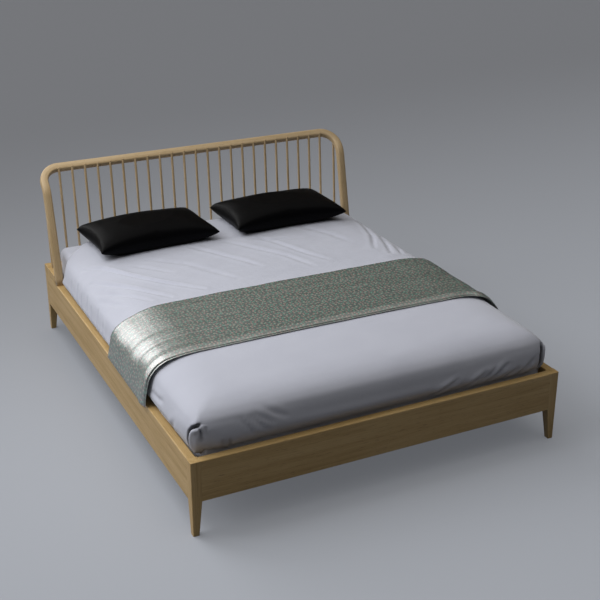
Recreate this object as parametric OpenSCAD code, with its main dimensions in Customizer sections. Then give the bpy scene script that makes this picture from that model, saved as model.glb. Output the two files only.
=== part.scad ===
// Double bed in light oak with a bent hoop headboard, 25 thin spindles and made-up bedding.
// +Z is up, the head end is towards +Y, and the origin is on the floor under the middle.

/* [Frame] */
// Overall width across the outer faces of the side rails
bed_w = 1720; // [1600:10:2000]
// Overall length from the foot rail's face to the rear face
bed_l = 2150; // [2120:10:2300]
// Height of the rails' top edge above the floor
rail_top = 330; // [300:5:380]
// Height of each rail board
rail_h = 178; // [150:2:190]
// Thickness of each rail board
rail_t = 38; // [34:1:40]
// Rounding of the rails' upper edges
edge_r = 4; // [2:0.5:6]
// Side of the square corner posts
post_w = 42; // [40:1:50]
// Side of a post's tapered end on the floor
foot_w = 25; // [20:1:36]

/* [Headboard] */
// Thickness of the board that carries the spindles
board_t = 40; // [36:1:60]
// Depth of that board, front to back
board_d = 102; // [96:1:102]
// Width of the hoop's section, seen from the front
hoop_w = 40; // [36:1:44]
// Depth of the hoop's section, front to back
hoop_d = 36; // [30:1:40]
// Rounding of the hoop's edges
hoop_r = 9; // [5:0.5:12]
// Distance from the bed's rear face to the front of the hoop's feet
hoop_setback = 242; // [230:2:260]
// Height of the hoop above the rails, at its outer top edge
hoop_rise = 575; // [450:5:700]
// Backward lean of the hoop's legs, in degrees
leg_lean = 12; // [8:0.5:14]
// Further lean between the legs and the hoop's top, in degrees
lean_turn = 38; // [34:1:42]
// Radius of the curve where the legs turn back
lean_r = 90; // [70:2:120]
// Radius of the two corner bends, at the middle of the section
bend_r = 88; // [70:2:110]

/* [Spindles] */
// Number of evenly spaced spindles, without the one at each end
even_spindles = 23; // [15:2:23]
// Distance from the bed's side to the axis of the end spindle, which meets the hoop's leg
end_spindle_inset = 24; // [22:0.5:30]
// Distance between the end spindle and the next one
end_spindle_gap = 86.9; // [75:0.1:100]
// Diameter of a spindle
spindle_d = 12; // [10:0.5:14]
// Distance from the rear face to a spindle's axis, on top of the board
spindle_setback = 77; // [74:1:80]
// Backward lean of the spindles, in degrees
spindle_lean = 3.5; // [3:0.1:4]
// Depth of a spindle's socket
socket_depth = 14; // [8:1:16]
// Clearance around a spindle in its socket
socket_gap = 0.1; // [0.05:0.05:0.3]

/* [Slatted base] */
// Distance from the rails' top down to the slats' upper face
slat_drop = 90; // [70:5:100]
// Number of slats
slat_n = 14; // [10:1:16]
// Width of a slat
slat_w = 80; // [60:5:90]
// Thickness of a slat
slat_t = 20; // [16:1:24]
// Width of the ledge that carries the slats' ends
ledge_w = 20; // [20:1:30]
// Height of that ledge
ledge_h = 30; // [26:1:32]
// Width of the centre beam
beam_w = 60; // [50:5:80]
// Height of the centre beam
beam_h = 50; // [40:5:50]
// Side of a square centre leg
centre_leg_w = 40; // [36:2:50]
// Length of a corner block along each rail
block_l = 110; // [100:5:130]
// Height of a corner block
block_h = 23; // [20:1:24]

/* [Fastenings] */
// Diameter of a dowel
dowel_d = 10; // [8:1:10]
// Length of a dowel
dowel_l = 40; // [30:2:40]
// Diameter of a screw's shank
screw_d = 4; // [3:0.5:5]
// Diameter of a screw's head
screw_head_d = 8; // [7:0.5:9]
// Length of a screw with its head
screw_l = 38; // [34:1:39]
// Diameter of a corner bolt
bolt_d = 8; // [6:1:8]
// Clearance around a dowel, screw or bolt
hole_gap = 0.1; // [0.05:0.05:0.3]
// Thickness of the steel beam hangers
hanger_t = 3; // [2:0.5:4]

/* [Bedding] */
// Clearance between the mattress and each side rail, where the duvet is tucked
mattress_side_gap = 22; // [18:1:60]
// Clearance between the mattress and the foot rail
mattress_foot_gap = 9; // [9:0.5:40]
// Clearance between the mattress and the board under the spindles
mattress_head_gap = 1; // [1:0.5:40]
// Mattress thickness
mattress_t = 250; // [200:10:260]
// Rounding of the mattress's edges
mattress_r = 30; // [15:1:40]
// Width of the folded runner, along the bed
runner_w = 500; // [400:10:600]
// Distance from the foot rail's face to the runner
runner_from_foot = 510; // [400:10:700]
// Thickness of the folded runner
runner_t = 6; // [4:0.5:8]
// Width of a pillow from corner to corner
pillow_w = 656; // [600:4:700]
// Depth of a pillow from corner to corner
pillow_d = 404; // [340:4:404]
// Thickness of a pillow at its crown
pillow_t = 112; // [90:2:130]
// Distance between the two pillows at the middle of the bed
pillow_gap = 89; // [70:1:160]
// Distance from the board under the spindles to the middle of a pillow
pillow_setback = 198; // [190:1:240]

/* [Hidden] */
$fn = 48;
spindle_names = [for (i = [1 : even_spindles + 2]) str("spindle_", i < 10 ? "0" : "", i)];

oak = "#b99a6c";
beech = "#c9b084";
steel = "#9a9c9e";
sheet_white = "#d5d8e2";
runner_green = "#6d8b80";
pillow_black = "#141416";

half_w = bed_w / 2;
half_l = bed_l / 2;
rail_bottom = rail_top - rail_h;
rail_in_x = half_w - rail_t;
rail_in_y = half_l - rail_t;
rail_mid_x = half_w - rail_t / 2;
rail_mid_y = half_l - rail_t / 2;
post_in_x = half_w - post_w;
post_in_y = half_l - post_w;
board_top = rail_top + board_t;
board_front_y = half_l - board_d;
past = 1;

// Places on the hoop's centre line, in the plane of one leg: foot, end of the straight leg,
// end of the curve, start of the corner bend after a short straight link, and the top bar.
hoop_x = half_w - hoop_w / 2;
top_lean = leg_lean + lean_turn;
foot_y = half_l - hoop_setback + hoop_d / 2 / cos(leg_lean);
curve_y = lean_r * (cos(leg_lean) - cos(top_lean));
curve_z = lean_r * (sin(top_lean) - sin(leg_lean));
link_l = 6;
bend_rise = (link_l + bend_r + hoop_w / 2) * cos(top_lean);
leg_l = (hoop_rise - curve_z - bend_rise) / cos(leg_lean);
leg_end_y = foot_y + leg_l * sin(leg_lean);
leg_end_z = rail_top + leg_l * cos(leg_lean);
curve_end_y = leg_end_y + curve_y;
curve_end_z = leg_end_z + curve_z;
bend_y = curve_end_y + link_l * sin(top_lean);
bend_z = curve_end_z + link_l * cos(top_lean);
bar_y = bend_y + bend_r * sin(top_lean);
bar_z = bend_z + bend_r * cos(top_lean);
bar_half = hoop_x - bend_r;

// A spindle's axis runs from the board's top face up to the bar's underside.
spindle_y = half_l - spindle_setback;
end_spindle_x = half_w - end_spindle_inset;
spindle_pitch = 2 * (end_spindle_x - end_spindle_gap) / (even_spindles - 1);
spindle_run = (-hoop_w / 2 - (spindle_y - bar_y) * sin(top_lean) - (board_top - bar_z) * cos(top_lean))
    / (sin(spindle_lean) * sin(top_lean) + cos(spindle_lean) * cos(top_lean));
end_spindle_run = spindle_run - 26;
spindle_x = concat([-end_spindle_x],
    [for (i = [0 : even_spindles - 1]) (i - (even_spindles - 1) / 2) * spindle_pitch],
    [end_spindle_x]);

slat_top = rail_top - slat_drop;
slat_bottom = slat_top - slat_t;
beam_bottom = slat_bottom - beam_h;
centre_leg_y = bed_l / 6;
slat_first_y = -rail_in_y + 60;
slat_pitch = 2 * (rail_in_y - 60) / (slat_n - 1);
ledge_mid_x = rail_in_x - ledge_w / 2;
ledge_mid_z = slat_bottom - ledge_h / 2;
block_bottom = rail_bottom + 3;
block_mid_z = block_bottom + block_h / 2;
// Depth at which a block screw enters, so that it passes through ledge_w of the block
block_screw_at = block_l - ledge_w;

mattress_w = 2 * (rail_in_x - mattress_side_gap);
mattress_foot_y = -rail_in_y + mattress_foot_gap;
mattress_l = board_front_y - mattress_head_gap - mattress_foot_y;
mattress_top = slat_top + mattress_t;

function left_right() = [-1, 1];

// A rectangle w by d about the origin with its corners rounded to r
module rounded_rect(w, d, r) {
    square([w - 2 * r, d], center = true);
    square([w, d - 2 * r], center = true);
    for (sx = left_right(), sy = left_right())
        translate([sx * (w / 2 - r), sy * (d / 2 - r)]) circle(r = r);
}

// A rail's section: width t, height rail_h, both upper edges rounded
module rail_section() {
    square([rail_t, rail_h - edge_r]);
    translate([edge_r, 0]) square([rail_t - 2 * edge_r, rail_h]);
    for (x = [edge_r, rail_t - edge_r]) translate([x, rail_h - edge_r]) circle(r = edge_r);
}

// Dowels: [x, y, z, rotation that turns +Z to the dowel's axis]
cross_dowels = [for (sx = left_right(), sy = left_right(), z = [rail_bottom + 38, rail_bottom + 138])
    [sx * post_in_x, sy * rail_mid_y, z, [0, 90, 0]]];
long_dowels = [for (sx = left_right(), sy = left_right(), z = [rail_bottom + 63, rail_bottom + 158])
    [sx * rail_mid_x, sy * post_in_y, z, [90, 0, 0]]];
hoop_dowels = [for (sx = left_right()) [sx * rail_mid_x, foot_y, rail_top, [0, 0, 0]]];
board_dowel_pitch = (half_w - 160) / 2;
board_dowels = [for (i = [-2 : 2]) [i * board_dowel_pitch, rail_mid_y, rail_top, [0, 0, 0]]];
centre_dowels = [for (sy = left_right()) [0, sy * centre_leg_y, beam_bottom, [0, 0, 0]]];
all_dowels = concat(cross_dowels, long_dowels, hoop_dowels, board_dowels, centre_dowels);

module dowel_set(list, gap = 0) {
    for (p = list) translate([p[0], p[1], p[2]]) rotate(p[3])
        cylinder(d = dowel_d + 2 * gap, h = dowel_l + 2 * gap, center = true);
}

// Screws: [x, y, z of the head's outer face, rotation that turns +Z to the way the screw points]
ledge_screws = [for (sx = left_right(), i = [0 : 6])
    [sx * (rail_in_x - ledge_w), -post_in_y + 150 + i * (2 * post_in_y - 300) / 6, ledge_mid_z, [0, sx * 90, 0]]];
slat_screws = [for (sx = left_right(), i = [0 : slat_n - 1])
    [sx * ledge_mid_x, slat_first_y + i * slat_pitch, slat_top, [180, 0, 0]]];
side_block_screws = [for (sx = left_right(), sy = left_right())
    [sx * (rail_in_x - ledge_w), sy * (rail_in_y - block_screw_at), block_mid_z, [0, sx * 90, 0]]];
end_block_screws = [for (sx = left_right(), sy = left_right())
    [sx * (rail_in_x - block_screw_at), sy * (rail_in_y - ledge_w), block_mid_z, [-sy * 90, 0, 0]]];
hanger_screws = [for (sx = left_right(), sy = left_right())
    [sx * beam_w / 4, sy * (rail_in_y - hanger_t), slat_bottom + 8, [-sy * 90, 0, 0]]];
all_screws = concat(ledge_screws, slat_screws, side_block_screws, end_block_screws, hanger_screws);

module screw_set(list, gap = 0) {
    for (p = list) translate([p[0], p[1], p[2]]) rotate(p[3]) {
        cylinder(d = screw_head_d + 2 * gap, h = 3);
        cylinder(d = screw_d + 2 * gap, h = screw_l + gap);
    }
}

// The four diagonal bolts that draw the posts onto the corner blocks
bolt_reach = 26;
bolt_out = block_l / 2 * sqrt(2) - (post_w - rail_t) * sqrt(2);

module bolt_axis(sx, sy) {
    translate([sx * post_in_x, sy * post_in_y, block_mid_z])
        rotate([0, 0, atan2(sy, sx)]) rotate([0, 90, 0]) children();
}

module bolt_bore(sx, sy) {
    bolt_axis(sx, sy)
        translate([0, 0, -bolt_out - past])
            cylinder(d = bolt_d + 2 * hole_gap, h = bolt_out + past + bolt_reach + hole_gap);
}

module corner_bolts() {
    color(steel)
        for (sx = left_right(), sy = left_right())
            bolt_axis(sx, sy) {
                translate([0, 0, -bolt_out - 12]) cylinder(d = bolt_d, h = bolt_out + 12 + bolt_reach);
                translate([0, 0, -bolt_out - 7]) cylinder(d = 15, h = 7);
            }
}

module dowels() {
    color(beech) dowel_set(all_dowels);
}

module wood_screws() {
    color(steel) screw_set(all_screws);
}

// Rail across the bed between two posts: sy is -1 at the foot and 1 at the head
module cross_rail(sy) {
    color(oak) difference() {
        translate([-post_in_x, sy * rail_mid_y - rail_t / 2, rail_bottom])
            rotate([90, 0, 90]) linear_extrude(2 * post_in_x) rail_section();
        dowel_set([for (p = cross_dowels) if (p[1] * sy > 0) p], hole_gap);
        if (sy > 0) dowel_set(board_dowels, hole_gap);
        screw_set([for (p = concat(end_block_screws, hanger_screws)) if (p[1] * sy > 0) p], hole_gap);
    }
}

// Rail along the bed between two posts: sx is -1 at the left and 1 at the right
module side_rail(sx) {
    color(oak) difference() {
        translate([sx * rail_mid_x + rail_t / 2, -post_in_y, rail_bottom])
            rotate([90, 0, 180]) linear_extrude(2 * post_in_y) rail_section();
        dowel_set([for (p = concat(long_dowels, hoop_dowels)) if (p[0] * sx > 0) p], hole_gap);
        screw_set([for (p = concat(ledge_screws, side_block_screws)) if (p[0] * sx > 0) p], hole_gap);
    }
}

// A post's outline seen from one side: square above the rail, tapered on its inner face below
module post_outline() {
    polygon([[0, 0], [foot_w, 0], [post_w, rail_bottom], [post_w, rail_top], [0, rail_top]]);
}

// Corner post: sx is -1 at the left, sy is -1 at the foot
module post(sx, sy) {
    color(oak) difference() {
        translate([sx * half_w, sy * half_l, 0])
            mirror([sx > 0 ? 1 : 0, 0, 0]) mirror([0, sy > 0 ? 1 : 0, 0])
                intersection() {
                    translate([0, post_w, 0]) rotate([90, 0, 0]) linear_extrude(post_w) post_outline();
                    rotate([90, 0, 90]) linear_extrude(post_w) post_outline();
                    linear_extrude(rail_top) {
                        translate([edge_r, 0]) square([post_w - edge_r, post_w]);
                        translate([0, edge_r]) square([post_w, post_w - edge_r]);
                        translate([edge_r, edge_r]) circle(r = edge_r);
                    }
                }
        dowel_set([for (p = concat(cross_dowels, long_dowels)) if (p[0] * sx > 0 && p[1] * sy > 0) p], hole_gap);
        bolt_bore(sx, sy);
    }
}

// Axis of spindle i from the board's top face: +Z runs up the spindle
module spindle_axis(i) {
    translate([spindle_x[i], spindle_y, board_top]) rotate([-spindle_lean, 0, 0]) children();
}

function is_end(i) = i == 0 || i == len(spindle_x) - 1;
function run_of(i) = is_end(i) ? end_spindle_run : spindle_run;

module spindle(i) {
    color(oak) spindle_axis(i)
        translate([0, 0, -socket_depth]) cylinder(d = spindle_d, h = run_of(i) + 2 * socket_depth);
}

module spindle_sockets() {
    for (i = [0 : len(spindle_x) - 1])
        spindle_axis(i)
            translate([0, 0, -socket_depth])
                cylinder(d = spindle_d + 2 * socket_gap, h = run_of(i) + 2 * socket_depth);
}

module headboard_board() {
    color(oak) difference() {
        translate([-half_w, board_front_y, rail_top]) cube([bed_w, board_d, board_t]);
        spindle_sockets();
        dowel_set(board_dowels, hole_gap);
    }
}

// Short piece on the side rail that fills the way from the hoop's foot to the cross board
module headboard_return(sx) {
    back_of_leg = foot_y + hoop_d / 2 / cos(leg_lean);
    color(oak)
        translate([sx * hoop_x - hoop_w / 2, 0, 0])
            rotate([90, 0, 90]) linear_extrude(hoop_w)
                polygon([[back_of_leg, rail_top], [board_front_y, rail_top], [board_front_y, board_top],
                         [back_of_leg + board_t * tan(leg_lean), board_top]]);
}

// One side of the hoop, in the plane of its top: +Z is along that plane, and z = 0 is where the
// corner bend starts. Below it are a short link, the curve that turns it back, and the leg.
module hoop_side(sx) {
    translate([sx * bar_half, 0, 0])
        rotate([90, 0, 0]) rotate([0, 0, sx < 0 ? 90 : 0])
            rotate_extrude(angle = 90, $fn = 96)
                translate([bend_r, 0]) rounded_rect(hoop_w, hoop_d, hoop_r);
    translate([sx * hoop_x, 0, -link_l])
        linear_extrude(link_l) rounded_rect(hoop_w, hoop_d, hoop_r);
    translate([sx * hoop_x, lean_r, -link_l])
        rotate([0, 90, 0]) rotate([0, 0, -90])
            rotate_extrude(angle = lean_turn, $fn = 96)
                translate([lean_r, 0]) rounded_rect(hoop_d, hoop_w, hoop_r);
    translate([sx * hoop_x, lean_r, -link_l])
        rotate([lean_turn, 0, 0]) translate([0, -lean_r, -leg_l - hoop_d])
            linear_extrude(leg_l + hoop_d) rounded_rect(hoop_w, hoop_d, hoop_r);
}

module headboard_hoop() {
    color(oak) difference() {
        translate([0, bend_y, bend_z]) rotate([-top_lean, 0, 0]) union() {
            for (sx = left_right()) hoop_side(sx);
            translate([-bar_half, 0, bend_r])
                rotate([90, 0, 90]) linear_extrude(2 * bar_half) rounded_rect(hoop_d, hoop_w, hoop_r);
        }
        for (sx = left_right())
            translate([sx * hoop_x - hoop_w, foot_y - 2 * hoop_d, rail_top - 2 * hoop_d])
                cube([2 * hoop_w, 4 * hoop_d, 2 * hoop_d]);
        spindle_sockets();
        dowel_set(hoop_dowels, hole_gap);
    }
}

module slat_ledge(sx) {
    color(beech) difference() {
        translate([sx * ledge_mid_x - ledge_w / 2, -post_in_y, slat_bottom - ledge_h])
            cube([ledge_w, 2 * post_in_y, ledge_h]);
        screw_set([for (p = concat(ledge_screws, slat_screws)) if (p[0] * sx > 0) p], hole_gap);
    }
}

module slats() {
    slat_l = 2 * rail_in_x - 4;
    color(beech) difference() {
        for (i = [0 : slat_n - 1])
            translate([-slat_l / 2, slat_first_y + i * slat_pitch - slat_w / 2, slat_bottom])
                cube([slat_l, slat_w, slat_t]);
        screw_set(slat_screws, hole_gap);
    }
}

module centre_beam() {
    beam_l = 2 * (rail_in_y - hanger_t);
    color(beech) difference() {
        translate([-beam_w / 2, -beam_l / 2, beam_bottom]) cube([beam_w, beam_l, beam_h]);
        dowel_set(centre_dowels, hole_gap);
    }
}

module centre_leg(sy) {
    color(beech) difference() {
        translate([-centre_leg_w / 2, sy * centre_leg_y - centre_leg_w / 2, 0])
            cube([centre_leg_w, centre_leg_w, beam_bottom]);
        dowel_set([for (p = centre_dowels) if (p[1] * sy > 0) p], hole_gap);
    }
}

// Bent steel hanger: a back plate on the rail and a stirrup under the beam's end
module beam_hanger(sy) {
    stirrup_l = 40;
    back_h = beam_h + 20 + hanger_t;
    outer_w = beam_w + 2 * hanger_t;
    color(steel) difference() {
        mirror([0, sy > 0 ? 1 : 0, 0]) union() {
            translate([-outer_w / 2, -rail_in_y, beam_bottom - hanger_t]) cube([outer_w, hanger_t, back_h]);
            translate([-outer_w / 2, -rail_in_y, beam_bottom - hanger_t]) cube([outer_w, stirrup_l, hanger_t]);
            for (x = [-outer_w / 2, beam_w / 2])
                translate([x, -rail_in_y, beam_bottom - hanger_t]) cube([hanger_t, stirrup_l, beam_h + hanger_t - past]);
        }
        screw_set([for (p = hanger_screws) if (p[1] * sy > 0) p], hole_gap);
    }
}

// Triangular block in an inner corner, notched round the post
module corner_block(sx, sy) {
    notch = post_w - rail_t;
    color(beech) difference() {
        translate([sx * rail_in_x, sy * rail_in_y, block_bottom])
            mirror([sx > 0 ? 1 : 0, 0, 0]) mirror([0, sy > 0 ? 1 : 0, 0])
                linear_extrude(block_h)
                    polygon([[notch, 0], [block_l, 0], [0, block_l], [0, notch], [notch, notch]]);
        bolt_bore(sx, sy);
        screw_set([for (p = concat(side_block_screws, end_block_screws)) if (p[0] * sx > 0 && p[1] * sy > 0) p],
            hole_gap);
    }
}

// Mattress in its fitted sheet: three extrusions crossed, so that every edge is rounded
module mattress() {
    color(sheet_white)
        translate([0, mattress_foot_y + mattress_l / 2, slat_top + mattress_t / 2])
            intersection() {
                linear_extrude(mattress_t, center = true)
                    rounded_rect(mattress_w, mattress_l, mattress_r + 10);
                rotate([90, 0, 0]) linear_extrude(mattress_l, center = true)
                    rounded_rect(mattress_w, mattress_t, mattress_r);
                rotate([90, 0, 90]) linear_extrude(mattress_w, center = true)
                    rounded_rect(mattress_l, mattress_t, mattress_r);
            }
}

// Duvet: open rings that run down the left side, round the foot and up the right side.
// Ring 0 is the hem, tucked inside the rails, and the last ring is a spine along the middle.
// For each ring: height, drawn in from the side's and the foot's fullest line, and the
// distance of its head end from the board under the spindles.
duvet_half_w = rail_in_x + 13;
duvet_foot_y = -half_l + 33;
duvet_rings = [
    [rail_top - 35, 16, 5.5, 163], [rail_top, 16, 5.5, 163], [rail_top + 35, 2, 1, 173],
    [(rail_top + mattress_top) / 2 + 10, 0, 0, 188], [mattress_top - 25, 3, 3, 204],
    [mattress_top + 5, 12, 12, 213], [mattress_top + 23, 30, 30, 198], [mattress_top + 31, 70, 70, 137],
    [mattress_top + 38, 250, 250, 63], [mattress_top + 41, 500, 500, 58]];
duvet_crown = mattress_top + 42;
spine_from_foot = bed_l / 2 - 375;
last_ring = len(duvet_rings);
side_steps = 14;
corner_steps = 4;
foot_steps = 10;
ring_steps = 2 * side_steps + 2 * corner_steps + foot_steps;
half_steps = ring_steps / 2;
cover_gap = 0.6;

// Point m of a ring, on its left half, from the half width a, the foot line f, the corner
// radius c and the head end e
function ring_left(m, a, f, c, e) =
    m <= side_steps ? [-a, e + (f + c - e) * m / side_steps]
    : m <= side_steps + corner_steps
        ? let (t = 90 * (m - side_steps) / corner_steps) [-a + c - c * cos(t), f + c - c * sin(t)]
    : [(c - a) * (1 - 2 * (m - side_steps - corner_steps) / foot_steps), f];
function ring_point(m, a, f, c, e) =
    m <= half_steps ? ring_left(m, a, f, c, e)
    : let (p = ring_left(ring_steps - m, a, f, c, e)) [-p[0], p[1]];
// The tuck at each foot corner, and shallow folds down the sides
function is_tuck(m, k) = k > 1 && k < 6 && (m == side_steps + 1 || m == ring_steps - side_steps - 1);
function side_fold(m, k) = k > 1 && k < 6 && min(m, ring_steps - m) < side_steps ? 3 * sin(m * 125) : 0;
function cover_out(k, m) = let (g = duvet_rings[k], in = is_tuck(m, k) ? 9 : 0)
    concat(ring_point(m, duvet_half_w - g[1] - in - max(0, side_fold(m, k)),
        duvet_foot_y + g[2] + in, max(8, 55 - g[2]), board_front_y - g[3]), [g[0]]);
function cover_in(k, m) = let (g = duvet_rings[k], on_top = k > 5, a = duvet_half_w - g[1])
    on_top ? concat(ring_point(m, min(a, mattress_w / 2 - 12), max(duvet_foot_y + g[2], mattress_foot_y + 12),
            max(8, 38 - g[2]), board_front_y - g[3]), [mattress_top + cover_gap])
    : concat(ring_point(m, mattress_w / 2 + cover_gap, mattress_foot_y - cover_gap, 30, board_front_y - g[3]),
        [k == 5 ? mattress_top + cover_gap : g[0]]);
spine_head_y = board_front_y - duvet_rings[last_ring - 1][3];
function spine_point(m, z) = [0, spine_head_y + (spine_from_foot - half_l - spine_head_y) * m / half_steps, z];
layer_size = last_ring * (ring_steps + 1) + half_steps + 1;
function cover_index(layer, k, m) = layer * layer_size
    + (k < last_ring ? k * (ring_steps + 1) + m : last_ring * (ring_steps + 1) + min(m, ring_steps - m));
function two_triangles(a, b, c, d) = [[a, b, c], [a, c, d]];
// The right half's diagonals mirror the left half's
function cover_quad(m, a, b, c, d) = m < half_steps ? two_triangles(a, b, c, d) : two_triangles(b, c, d, a);

duvet_points = [for (layer = [0, 1]) each concat(
    [for (k = [0 : last_ring - 1], m = [0 : ring_steps]) layer == 0 ? cover_out(k, m) : cover_in(k, m)],
    [for (m = [0 : half_steps]) spine_point(m, layer == 0 ? duvet_crown : mattress_top + cover_gap)])];
duvet_faces = concat(
    [for (k = [0 : last_ring - 1], m = [0 : ring_steps - 1]) each cover_quad(m,
        cover_index(0, k, m), cover_index(0, k + 1, m), cover_index(0, k + 1, m + 1), cover_index(0, k, m + 1))],
    [for (k = [0 : last_ring - 1], m = [0 : ring_steps - 1]) each cover_quad(m,
        cover_index(1, k, m), cover_index(1, k, m + 1), cover_index(1, k + 1, m + 1), cover_index(1, k + 1, m))],
    [for (m = [0 : ring_steps - 1]) each cover_quad(m,
        cover_index(0, 0, m), cover_index(0, 0, m + 1), cover_index(1, 0, m + 1), cover_index(1, 0, m))],
    [for (k = [0 : last_ring - 1]) each two_triangles(
        cover_index(0, k, 0), cover_index(1, k, 0), cover_index(1, k + 1, 0), cover_index(0, k + 1, 0))],
    [for (k = [0 : last_ring - 1]) each two_triangles(
        cover_index(0, k, ring_steps), cover_index(0, k + 1, ring_steps),
        cover_index(1, k + 1, ring_steps), cover_index(1, k, ring_steps))]);

module duvet() {
    color(sheet_white) polyhedron(points = duvet_points, faces = duvet_faces);
}

// Runner: half of its path across the bed, from the hem on the side rail to the middle.
// Each entry is the distance from the middle and the height of the underside. It hangs
// clear below the duvet's fullest line and follows the duvet above it.
lie_gap = 0.8;
hem_x = half_w - runner_t - 2;
function side_at(k) = k < last_ring ? [duvet_half_w - duvet_rings[k][1], duvet_rings[k][0]] : [0, duvet_crown];
function side_out(k) = let (d = side_at(k + 1) - side_at(k - 1)) [d[1], -d[0]] / norm(d);
runner_path = concat(
    [[hem_x, rail_top + 0.5], [hem_x - 5, rail_top + 26], [duvet_half_w + 6, rail_top + 62]],
    [for (k = [3 : last_ring - 1]) side_at(k) + lie_gap * side_out(k)]);
runner_half = len(runner_path);
runner_last = 2 * runner_half;
runner_cols = 6;
// The way that the cloth faces at each point of the path
function path_at(i) = i < runner_half ? [-runner_path[i][0], runner_path[i][1]]
    : i == runner_half ? [0, duvet_crown + lie_gap]
    : [runner_path[runner_last - i][0], runner_path[runner_last - i][1]];
function path_out(i) = let (a = path_at(max(0, i - 1)), b = path_at(min(runner_last, i + 1)), d = b - a)
    [-d[1], d[0]] / norm(d);
// Shallow ripples where the cloth hangs, none where it lies flat
function ripple(i, j) = let (hang = max(0, 1 - min(i, runner_last - i) / 5)) 2.5 * hang * (1 + sin(j * 130));
function runner_y(i, j) = -half_l + runner_from_foot + runner_w * j / runner_cols
    - 10 * max(0, 1 - min(i, runner_last - i) / 6);
function runner_point(i, j, up) = let (p = path_at(i) + path_out(i) * (up * runner_t + ripple(i, j)))
    [i == 0 || i == runner_last ? sign(p[0]) * (hem_x + up * runner_t) : p[0], runner_y(i, j),
     i == 0 || i == runner_last ? path_at(i)[1] : p[1]];
runner_row = runner_cols + 1;
runner_layer = (runner_last + 1) * runner_row;
function runner_index(up, i, j) = up * runner_layer + i * runner_row + j;
runner_points = [for (up = [0, 1], i = [0 : runner_last], j = [0 : runner_cols]) runner_point(i, j, up)];
runner_faces = concat(
    [for (i = [0 : runner_last - 1], j = [0 : runner_cols - 1]) each two_triangles(
        runner_index(1, i, j), runner_index(1, i, j + 1), runner_index(1, i + 1, j + 1), runner_index(1, i + 1, j))],
    [for (i = [0 : runner_last - 1], j = [0 : runner_cols - 1]) each two_triangles(
        runner_index(0, i, j), runner_index(0, i + 1, j), runner_index(0, i + 1, j + 1), runner_index(0, i, j + 1))],
    [for (i = [0 : runner_last - 1]) each two_triangles(
        runner_index(0, i, 0), runner_index(1, i, 0), runner_index(1, i + 1, 0), runner_index(0, i + 1, 0))],
    [for (i = [0 : runner_last - 1]) each two_triangles(
        runner_index(0, i, runner_cols), runner_index(0, i + 1, runner_cols),
        runner_index(1, i + 1, runner_cols), runner_index(1, i, runner_cols))],
    [for (j = [0 : runner_cols - 1]) each two_triangles(
        runner_index(0, 0, j), runner_index(0, 0, j + 1), runner_index(1, 0, j + 1), runner_index(1, 0, j))],
    [for (j = [0 : runner_cols - 1]) each two_triangles(
        runner_index(0, runner_last, j), runner_index(1, runner_last, j),
        runner_index(1, runner_last, j + 1), runner_index(0, runner_last, j + 1))]);

module runner() {
    color(runner_green) polyhedron(points = runner_points, faces = runner_faces);
}

// Pillow: a square grid of points above and below a shared seam. The corners stand out, the
// sides are drawn in, the crown falls away towards the seam, and the underside lies flat.
pillow_steps = 14;
pillow_mid_z = duvet_crown + 43;
pillow_under = pillow_mid_z - duvet_crown + 0.1;
function pillow_at(i) = 2 * i / pillow_steps - 1;
function pillow_crown(u, v) = pow((1 - u * u) * (1 - v * v), 0.42);
function pillow_point(i, j, side) = let (u = pillow_at(i), v = pillow_at(j), c = pillow_crown(u, v))
    [pillow_w / 2 * u * (1 - 0.05 * (1 - v * v)), pillow_d / 2 * v * (1 - 0.1 * (1 - u * u)),
     side > 0 ? c * (pillow_t - pillow_under) : -min(pillow_under, c * pillow_under * 1.5)];
function turned(p, a) = [p[0] * cos(a) - p[1] * sin(a), p[0] * sin(a) + p[1] * cos(a), p[2]];
pillow_row = pillow_steps + 1;
function on_seam(i, j) = i == 0 || j == 0 || i == pillow_steps || j == pillow_steps;
function pillow_index(side, i, j) = side > 0 || on_seam(i, j) ? i * pillow_row + j
    : pillow_row * pillow_row + (i - 1) * (pillow_steps - 1) + j - 1;
pillow_points = concat(
    [for (i = [0 : pillow_steps], j = [0 : pillow_steps]) pillow_point(i, j, 1)],
    [for (i = [1 : pillow_steps - 1], j = [1 : pillow_steps - 1]) pillow_point(i, j, -1)]);
// Each quarter's diagonals run out to its own corner, so that no triangle lies flat in the seam
function pillow_quad(i, j, a, b, c, d) =
    (i < pillow_steps / 2) == (j < pillow_steps / 2) ? two_triangles(a, b, c, d) : two_triangles(b, c, d, a);
pillow_faces = concat(
    [for (i = [0 : pillow_steps - 1], j = [0 : pillow_steps - 1]) each pillow_quad(i, j,
        pillow_index(1, i, j), pillow_index(1, i, j + 1), pillow_index(1, i + 1, j + 1), pillow_index(1, i + 1, j))],
    [for (i = [0 : pillow_steps - 1], j = [0 : pillow_steps - 1]) each pillow_quad(i, j,
        pillow_index(-1, i, j), pillow_index(-1, i + 1, j), pillow_index(-1, i + 1, j + 1), pillow_index(-1, i, j + 1))]);

// sx is -1 at the left, and the pillow's middle is shifted by [x, y] from its even place
module pillow(sx, shift, turn) {
    place = [sx * (pillow_w + pillow_gap) / 2 + shift[0], board_front_y - pillow_setback + shift[1], pillow_mid_z];
    color(pillow_black)
        polyhedron(points = [for (p = pillow_points) turned(p, turn) + place], faces = pillow_faces);
}

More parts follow.
